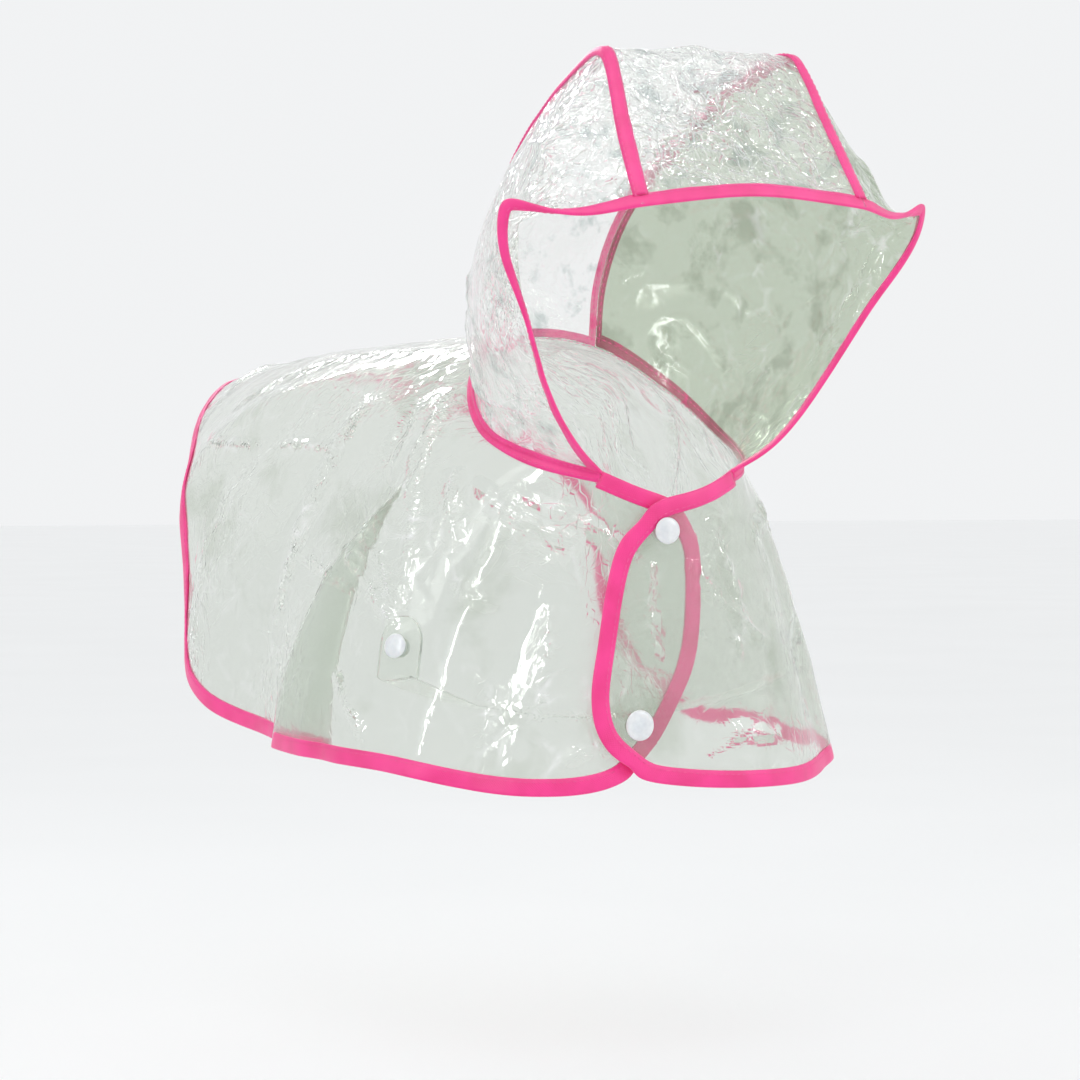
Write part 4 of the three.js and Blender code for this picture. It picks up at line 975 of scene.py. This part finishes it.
def foldedRings(places, normals, width):  # places: the edge, then points further in at even shares
    section = foldedSection(width)
    levels = np.linspace(0, 1, len(places))
    rings = []
    for across, height in section:
        share = across / width
        k = int(np.clip(np.searchsorted(levels, share, side="right") - 1, 0, len(places) - 2))
        part = (share - levels[k]) / (levels[k + 1] - levels[k])
        base = places[k] + (places[k + 1] - places[k]) * part
        normal = unit(normals[k] + (normals[k + 1] - normals[k]) * np.clip(part, 0, 1))
        rings.append(base + normal * height * mm)
    return np.stack(rings, 1), [a * mm for a, h in section]


seamLines = []  # where the stitches run, on both faces of a tape


def addStitchLine(places, normals, share, outer, inner):  # heights off the film outside and inside, in mm
    k = share * (len(places) - 1)
    low = min(int(k), len(places) - 2)
    part = k - low
    base = places[low] + (places[low + 1] - places[low]) * part
    normal = unit(normals[low] + (normals[low + 1] - normals[low]) * part)
    for height in (outer, -inner):
        seamLines.append(base + normal * height * mm)


def puckered(normals, places, seed):  # the tape's own slight waves along its run
    wave = ripple(places[0], seed, 0.014, binding["pucker"] * mm)
    shares = np.linspace(0.2, 1, len(places))
    return [p + n * wave[:, None] * share for p, n, share in zip(places, normals, shares)]


def foldedTape(name, places, normals, width, seed, share):
    places = puckered(normals, places, seed)
    rings, section = foldedRings(places, normals, width)
    addStitchLine(places, normals, share, foldedTop, foldedTop)
    return sweepMesh(name, rings, bindingLook, section)


def buildEdgeTape():
    at, down = capeOutlinePlaces()
    edge = capeSurface(at, down)
    smooth = smoothRun(edge, 6)
    along = unit(np.gradient(smooth, axis=0))
    width = binding["edgeWidth"]
    places, normals = [edge], [capeNormal(at, down)]
    nowAt, nowDown = at, down
    for k in range(3):
        nowAt, nowDown = inward(nowAt, nowDown, along, width / 3 * mm)
        places.append(capeSurface(nowAt, nowDown))
        normals.append(capeNormal(nowAt, nowDown))
    normals = [unit(smoothRun(n, 4)) for n in normals]
    places = [smoothRun(p, 2 + 4 * level) for level, p in enumerate(places)]
    return foldedTape("edgeTape", places, normals, width, 201, 0.76)


def panelLength(name, u=None, v=None):
    t = np.linspace(0, 1, 60)
    surface = panels[name]["surface"]
    line = surface(np.full(60, u), t) if v is None else surface(t, np.full(60, v))
    return runOf(line)[-1]


def lengthAt(name, way):  # reads the length across (way "v") or up (way "u") at any share
    ticks = np.linspace(0, 1, 9)
    lengths = [panelLength(name, **{way: x}) for x in ticks]
    return lambda t: np.interp(t, ticks, lengths)


def panelPlaces(name, u, v):
    surface = panels[name]["surface"]
    return surface(u, v), normalOf(surface, u, v, 0.01, 0.01) * panels[name]["sign"]


def buildFaceTape():
    width = binding["faceWidth"]
    levels = [0, 1 / 3, 2 / 3, 1]
    places, normals = [[] for _ in levels], [[] for _ in levels]
    sideRun, brimRun, middleRun = 95, 42, 60
    acrossSide = lengthAt("hoodRight", "v")
    upSide = lengthAt("hoodRight", "u")
    upMiddle = lengthAt("hoodMiddle", "u")

    def addRun(name, u, v, sideways):
        acrossLength = acrossSide(v)
        upLength = upMiddle(u) if name == "hoodMiddle" else upSide(u)
        for k, level in enumerate(levels):
            step = level * width * mm
            uIn = np.minimum(u, 1 - step / acrossLength) if sideways else u
            vIn = np.minimum(v, 1 - step / upLength)
            p, n = panelPlaces(name, uIn, vIn)
            places[k].append(p)
            normals[k].append(n)

    up = np.linspace(0, 1, sideRun)
    back = np.linspace(1, 0, brimRun)[1:-1]
    addRun("hoodRight", np.ones(sideRun), up, True)
    addRun("hoodRight", back, np.ones(len(back)), True)
    middle = np.linspace(0, 1, middleRun)
    addRun("hoodMiddle", middle, np.ones(middleRun), False)
    addRun("hoodLeft", back[::-1], np.ones(len(back)), True)
    addRun("hoodLeft", np.ones(sideRun), up[::-1], True)
    places = [np.concatenate(p) for p in places]
    normals = [unit(np.concatenate(n)) for n in normals]
    normals = [unit(smoothRun(n, 8)) for n in normals]
    rounds = binding["cornerRounds"]
    places = [smoothRun(p, rounds + 2 * level) for level, p in enumerate(places)]
    return foldedTape("faceTape", places, normals, width, 207, 0.74)


def flatRings(places, normals, half):  # places from side to side of the seam
    low = binding["flatLow"]
    top = low + binding["thickness"]
    count = len(places)
    crown = np.sin(np.pi * np.linspace(0, 1, count)) ** 0.6
    rise = low + (top + 0.35 - low) * (0.62 + 0.38 * crown)
    upper = [p + n * r * mm for p, n, r in zip(places, normals, rise)]
    lower = [p + n * low * mm for p, n in zip(places, normals)]
    rings = np.stack(upper + lower[::-1], 1)
    across = np.linspace(-half, half, count) * mm
    return rings, list(across) + list(across[::-1])


def flatTape(name, places, normals, half, seed, shares):
    normals = [unit(smoothRun(n, 6)) for n in normals]
    places = puckered(normals, places, seed)
    for share in shares:
        addStitchLine(places, normals, share, flatTop, cape["filmHalf"] + stitchSunk)
    rings, section = flatRings(places, normals, half)
    return sweepMesh(name, rings, bindingLook, section)


def buildNeckTape():
    at = np.linspace(cape["hoodEnd"] + 0.4, 360 - cape["hoodEnd"] - 0.4, 220)
    half = binding["neckHalf"]
    start = hood["gussetStart"]
    stretch = np.linalg.norm(capeSurface(at, 0.02) - capeSurface(at, 0), axis=-1) / 0.02
    places, normals = [], []
    for level in (1, 0.5):
        down = level * half * mm / stretch
        places.append(capeSurface(at, down))
        normals.append(capeNormal(at, down))
    ups = {n: panelLength(n, u=0.5) for n in panels}
    for level in (0, 0.5, 1):
        p, n = np.empty((len(at), 3)), np.empty((len(at), 3))
        for name, inside, u in (
            ("hoodRight", at < start, (start - at) / (start - cape["hoodEnd"])),
            ("hoodLeft", at > 360 - start, (at - 360 + start) / (start - cape["hoodEnd"])),
            ("hoodMiddle", (at >= start) & (at <= 360 - start), (at - start) / (360 - 2 * start)),
        ):
            v = np.full(inside.sum(), level * half * mm / ups[name])
            p[inside], n[inside] = panelPlaces(name, u[inside], v)
        if level == 0:
            n = unit(n + capeNormal(at, np.zeros(len(at))))
        places.append(p)
        normals.append(n)
    return flatTape("neckTape", places, normals, half, 211, (0.16, 0.84))


def buildSeamTape(name, side, middleFrom, middleWay):
    half = binding["seamHalf"]
    v = np.linspace(0.012, 0.985, 156)
    places, normals = [], []
    acrossSide = lengthAt(side, "v")(v)
    acrossMiddle = lengthAt("hoodMiddle", "v")(v)
    for level in (1, 0.5):
        p, n = panelPlaces(side, level * half * mm / acrossSide, v)
        places.append(p)
        normals.append(n)
    sideNormal = panelPlaces(side, np.zeros(len(v)), v)[1]
    for level in (0, 0.5, 1):
        u = middleFrom + middleWay * level * half * mm / acrossMiddle
        p, n = panelPlaces("hoodMiddle", u, v)
        places.append(p)
        normals.append(unit(n + sideNormal) if level == 0 else n)
    return flatTape(name, places, normals, half, 220 + int(middleFrom), (0.2, 0.8))


edgeTape = buildEdgeTape()
faceTape = buildFaceTape()
neckTape = buildNeckTape()
seamTapeRight = buildSeamTape("seamTapeRight", "hoodRight", 0, 1)
seamTapeLeft = buildSeamTape("seamTapeLeft", "hoodLeft", 1, -1)
print("binding tape built")


# Stitches: short threads along each tape, set by Geometry Nodes on the seam lines
stitch = {"spacing": 3.4, "length": 2.3, "radius": 0.22}


def buildStitchTree():
    tree = bpy.data.node_groups.new("stitchRun", "GeometryNodeTree")
    tree.interface.new_socket("Geometry", in_out="INPUT", socket_type="NodeSocketGeometry")
    for label in ("Spacing", "Length", "Radius"):
        tree.interface.new_socket(label, in_out="INPUT", socket_type="NodeSocketFloat")
    tree.interface.new_socket("Thread", in_out="INPUT", socket_type="NodeSocketMaterial")
    tree.interface.new_socket("Geometry", in_out="OUTPUT", socket_type="NodeSocketGeometry")
    given, result = tree.nodes.new("NodeGroupInput"), tree.nodes.new("NodeGroupOutput")
    names = "MeshToCurve CurveToPoints MeshUVSphere Transform InstanceOnPoints RealizeInstances"
    names += " SetMaterial SetShadeSmooth"
    made = [tree.nodes.new("GeometryNode" + name) for name in names.split()]
    curve, points, ball, shape, copies, real, paint, smooth = made
    points.mode = "LENGTH"
    ball.inputs["Segments"].default_value = 6
    ball.inputs["Rings"].default_value = 5
    ball.inputs["Radius"].default_value = 1
    size = tree.nodes.new("ShaderNodeCombineXYZ")
    half = tree.nodes.new("ShaderNodeMath")
    half.operation = "MULTIPLY"
    half.inputs[1].default_value = 0.5
    links = [
        (given, "Geometry", curve, "Mesh"),
        (curve, 0, points, "Curve"),
        (given, "Spacing", points, "Length"),
        (given, "Length", half, 0),
        (given, "Radius", size, 0),
        (given, "Radius", size, 1),
        (half, 0, size, 2),
        (ball, "Mesh", shape, "Geometry"),
        (size, 0, shape, "Scale"),
        (points, "Points", copies, "Points"),
        (points, "Rotation", copies, "Rotation"),
        (shape, 0, copies, "Instance"),
        (copies, 0, real, 0),
        (real, 0, smooth, 0),
        (smooth, 0, paint, "Geometry"),
        (given, "Thread", paint, "Material"),
        (paint, 0, result, 0),
    ]
    for source, out, target, into in links:
        tree.links.new(source.outputs[out], target.inputs[into])
    return tree


def buildStitches():
    points = np.concatenate(seamLines)
    edges, start = [], 0
    for line in seamLines:
        edges += [(start + k, start + k + 1) for k in range(len(line) - 1)]
        start += len(line)
    mesh = bpy.data.meshes.new("stitchLines")
    mesh.from_pydata(points.tolist(), edges, [])
    guide = addObject("stitchLines", mesh)
    modifier = guide.modifiers.new("stitchRun", "NODES")
    modifier.node_group = buildStitchTree()
    values = {name.title(): size * mm for name, size in stitch.items()}
    values["Thread"] = threadLook
    for item in modifier.node_group.interface.items_tree:
        if item.in_out == "INPUT" and item.name in values:
            modifier[item.identifier] = values[item.name]
    seen = guide.evaluated_get(bpy.context.evaluated_depsgraph_get())
    final = bpy.data.meshes.new_from_object(seen)
    guide.modifiers.clear()
    bpy.data.objects.remove(guide)
    final.name = "stitches"
    addAlong(final, placesOf(final)[:, [1, 2]])
    return addObject("stitches", final)


stitches = buildStitches()
print("stitches built")


# Press snaps: a domed cap outside, a mated socket and stud between the layers and a plate behind
snap = {
    "sides": 48,
    "face": 0.45,
    "flankRadius": 6.2,
    "capHeight": 2,
    "stud": 4.2,
    "backRadius": 5,
    "strapInside": 4.8,
    "chest": [
        {"name": "snapUpper", "over": 4.5, "down": 0.155, "seat": 1.1, "radius": 6.6, "node": "snap_upper"},
        {"name": "snapLower", "over": 10.5, "down": 0.79, "seat": 0, "radius": 7.6, "node": "snap_lower"},
    ],
    "flank": {"at": 67, "down": 0.69},
}


def lathe(profile, point, normal, sides):  # closed round solid, from the axis back to the axis
    side = unit(np.cross(normal, [0.0, 0.0, 1.0]))
    other = np.cross(normal, side)
    turn = np.linspace(0, 2 * np.pi, sides, endpoint=False)
    ring = np.cos(turn)[:, None] * side + np.sin(turn)[:, None] * other
    inner = [p for p in profile if p[0] > 0]
    points = [point + normal * profile[0][1] * mm]
    for radius, height in inner:
        points += list(point + normal * height * mm + ring * radius * mm)
    points.append(point + normal * profile[-1][1] * mm)
    faces = [(0, 1 + (k + 1) % sides, 1 + k) for k in range(sides)]
    for j in range(len(inner) - 1):
        a, b = 1 + j * sides, 1 + (j + 1) * sides
        faces += [(a + k, a + (k + 1) % sides, b + (k + 1) % sides, b + k) for k in range(sides)]
    last, tip = 1 + (len(inner) - 1) * sides, len(points) - 1
    faces += [(tip, last + k, last + (k + 1) % sides) for k in range(sides)]
    return points, faces


def capProfile(seat, r):
    face = snap["face"]
    base = face + seat
    h = snap["capHeight"]
    rise = [(0, face), (1.9, face)] + ([(1.9, base)] if seat else [])
    dome = [(r - 0.25, base), (r, base + 0.2), (r, base + 0.55), (r - 0.2, base + 0.8)]
    for k in range(1, 7):
        turn = 0.5 * np.pi * k / 7
        dome.append(((r - 0.4) * np.cos(turn), base + 0.85 + (h - 0.85) * np.sin(turn)))
    return rise + dome + [(0.9, base + h), (0, base + h - 0.1)]


def buildSnap(name, point, normal, seat, radius, spacing):
    face, stud, back = snap["face"], snap["stud"], snap["backRadius"]
    studEnd, plate = face - spacing, -spacing - face
    parts = [
        capProfile(seat, radius),
        [(0, studEnd), (stud, studEnd), (stud, studEnd + 1), (0.7 * stud, studEnd + 1.3),
         (0.7 * stud, -face - 1.3), (stud, -face - 1), (stud, -face), (0, -face)],
        [(0, plate - 1), (0.7 * back, plate - 1), (back, plate - 0.5), (back, plate), (0, plate)],
    ]
    points, faces = [], []
    for profile in parts:
        p, f = lathe(profile, point, normal, snap["sides"])
        faces += [tuple(k + len(points) for k in face) for face in f]
        points += p
    piece = meshObject(name, np.array(points), faces, snapLook)
    turnOutwards(piece)
    soften = piece.modifiers.new("soften", "BEVEL")
    soften.width = 0.15 * mm
    soften.segments = 2
    soften.limit_method = "ANGLE"
    soften.angle_limit = 0.6
    return piece


def placeAt(at, down):
    a, d = np.array([float(at)]), np.array([float(down)])
    return capeSurface(a, d)[0], capeNormal(a, d)[0]


snaps = []
for entry in snap["chest"]:
    point, normal = placeAt(360 + entry["over"], entry["down"])
    piece = buildSnap(entry["name"], point, normal, entry["seat"], entry["radius"], cape["flapLift"])
    snaps.append((piece, entry["node"]))
flankPlaces = [placeAt(a, snap["flank"]["down"]) for a in (snap["flank"]["at"], 360 - snap["flank"]["at"])]
for label, (point, normal) in zip(("right", "left"), flankPlaces):
    piece = buildSnap("snapFlank" + label.title(), point, normal, 0, snap["flankRadius"], snap["strapInside"])
    snaps.append((piece, "snap_flank_" + label))
print("snaps built")


# Belly strap: film from flank to flank under the wearer, held inside by the flank snaps
strap = {"width": 25, "overrun": 16, "back": -62, "dip": -198, "crush": 0.3, "endRows": 16, "columns": 13}


def buildStrap():
    ends = []
    for point, normal in flankPlaces:
        held = point - normal * snap["strapInside"] * mm
        across = unit(np.cross(normal, [0.0, 0.0, 1.0]))
        across = -across if across[1] > 0 else across
        down = unit(np.cross(across, normal))
        down = -down if down[2] > 0 else down
        ends.append((held, across, down, held + down * strap["overrun"] * mm))
    middle = np.array([0, strap["back"], strap["dip"]]) * mm

    def turnIn(low):
        p = low + (middle - low) * 0.35
        p[2] = low[2] + 0.62 * (middle[2] - low[2])
        return p

    curve = smoothCurve([ends[0][3], turnIn(ends[0][3]), middle, turnIn(ends[1][3]), ends[1][3]])
    t = np.linspace(0, 1, 90)
    line = curve(t)
    along = unit(np.gradient(line, axis=0))
    share = ((2 * t - 1) ** 2)[:, None]
    nearer = np.where((t < 0.5)[:, None], ends[0][1], ends[1][1])
    width = unit(np.array([0, -1.0, 0]) * (1 - share) + nearer * share)
    rows, columns = strap["endRows"], strap["columns"]
    s = np.linspace(-1, 0.97, rows)[:, None]
    centres = [ends[0][0] + ends[0][2] * s * strap["overrun"] * mm, line]
    centres.append((ends[1][0] + ends[1][2] * s * strap["overrun"] * mm)[::-1])
    ways = [np.tile(ends[0][2], (rows, 1)), along, np.tile(-ends[1][2], (rows, 1))]
    widths = [np.tile(ends[0][1], (rows, 1)), width, np.tile(ends[1][1], (rows, 1))]
    centre, way, width = (np.concatenate(x) for x in (centres, ways, widths))
    out = unit(np.cross(width, way))
    halfway = unit(np.cross(way, out)) * strap["width"] / 2 * mm
    fromEnd = np.minimum(np.arange(len(centre)), np.arange(len(centre))[::-1]) / 7
    halfway *= np.sqrt(1 - (1 - np.clip(fromEnd + 0.02, 0, 1)) ** 2)[:, None]  # rounded ends
    across = np.linspace(-1, 1, columns)
    points = centre[:, None] + halfway[:, None] * across[None, :, None]
    normals = np.repeat(out[:, None], columns, 1)
    wave = ripple(points, 301, 0.05, 0.35 * mm) * (1 - across[None] ** 2)
    crush = np.full(points.shape[:2], strap["crush"])
    return filmShell("bellyStrapFilm", points + normals * wave[..., None], normals, strapLook, crush)


strapFilm = buildStrap()
print("strap built")


# What each piece stands for and what it rides on
films = {
    "cape": capeFilm, "hood_side_right": hoodRightFilm,
    "hood_side_left": hoodLeftFilm, "hood_center": hoodMiddleFilm,
}
tapes = {
    "edge_tape": edgeTape, "face_tape": faceTape, "neck_tape": neckTape,
    "seam_tape_right": seamTapeRight, "seam_tape_left": seamTapeLeft,
}
for look, group in (("film", films), ("tape", tapes), ("strap", {"belly_strap": strapFilm})):
    for node, piece in group.items():
        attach(piece, "root")
        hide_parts(node)
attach(stitches, "root")
for piece, node in snaps:
    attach(piece, "root")
    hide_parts(*(f"{node}_{part}" for part in ("cap", "joint", "back")))


# Studio: pale floor and room, soft lamps and the camera
studio = {
    "floor": -0.367,
    "floorHalf": 20,
    "cameraAt": (-0.7530, -1.4744, -0.0790),
    "target": (0.0186, 0.0401, -0.1087),
    "lens": 103.33,
    "lamps": [  # the strips only show as gloss on the film
        {"name": "keyLamp", "at": (-0.9, -1.1, 1.3), "size": (0.9, 0.9), "power": 3.5, "soft": True},
        {"name": "fillLamp", "at": (1.3, -0.9, 0.5), "size": (1.2, 1.2), "power": 2, "soft": True},
        {"name": "stripLeft", "at": (-1.5, -0.5, 0.5), "size": (0.12, 1.1), "power": 12, "soft": False},
        {"name": "stripHigh", "at": (-0.5, -0.9, 1.5), "size": (0.9, 0.14), "power": 12, "soft": False},
        {"name": "stripRight", "at": (0.9, -1.2, 0.7), "size": (0.12, 0.9), "power": 10, "soft": False},
        {"name": "stripBack", "at": (0.3, 1.5, 0.9), "size": (0.9, 0.14), "power": 10, "soft": False},
    ],
}


def addAimed(name, data, at):
    piece = addObject(name, data)
    piece.location = at
    way = Vector(studio["target"]) - Vector(at)
    piece.rotation_euler = way.to_track_quat("-Z", "Y").to_euler()
    return piece


def buildStudio():
    look, tree, shader = newMaterial("paleFloor")[:3]
    place = tree.nodes.new("ShaderNodeTexCoord").outputs["Object"]
    drift = noiseNode(tree, place, 3, 2)
    tone = rampNode(tree, drift.outputs["Fac"], [(0.3, (0.94, 0.945, 0.945)), (0.7, (0.96, 0.965, 0.965))])
    tree.links.new(tone, shader.inputs["Base Color"])
    shader.inputs["Roughness"].default_value = 0.7
    size, z = studio["floorHalf"], studio["floor"]
    mesh = bpy.data.meshes.new("floor")
    corners = [(-size, -size, z), (size, -size, z), (size, size, z), (-size, size, z)]
    mesh.from_pydata(corners, [], [(0, 1, 2, 3)])
    mesh.materials.append(look)
    floor = addObject("floor", mesh)
    for entry in studio["lamps"]:
        data = bpy.data.lights.new(entry["name"], "AREA")
        data.energy = entry["power"]
        data.shape = "RECTANGLE"
        data.size, data.size_y = entry["size"]
        lamp = addAimed(entry["name"], data, entry["at"])
        lamp.visible_diffuse = entry["soft"]
    world = bpy.data.worlds.new("paleRoom")
    world.use_nodes = True
    world.node_tree.nodes["Background"].inputs["Color"].default_value = (0.95, 0.96, 0.97, 1)
    world.node_tree.nodes["Background"].inputs["Strength"].default_value = 0.93
    bpy.context.scene.world = world
    data = bpy.data.cameras.new("photoCamera")
    data.lens = studio["lens"]
    data.sensor_width = 36
    data.clip_end = 50
    bpy.context.scene.camera = addAimed("photoCamera", data, studio["cameraAt"])
    bpy.context.scene.view_settings.view_transform = "Standard"


buildStudio()
print("studio built")
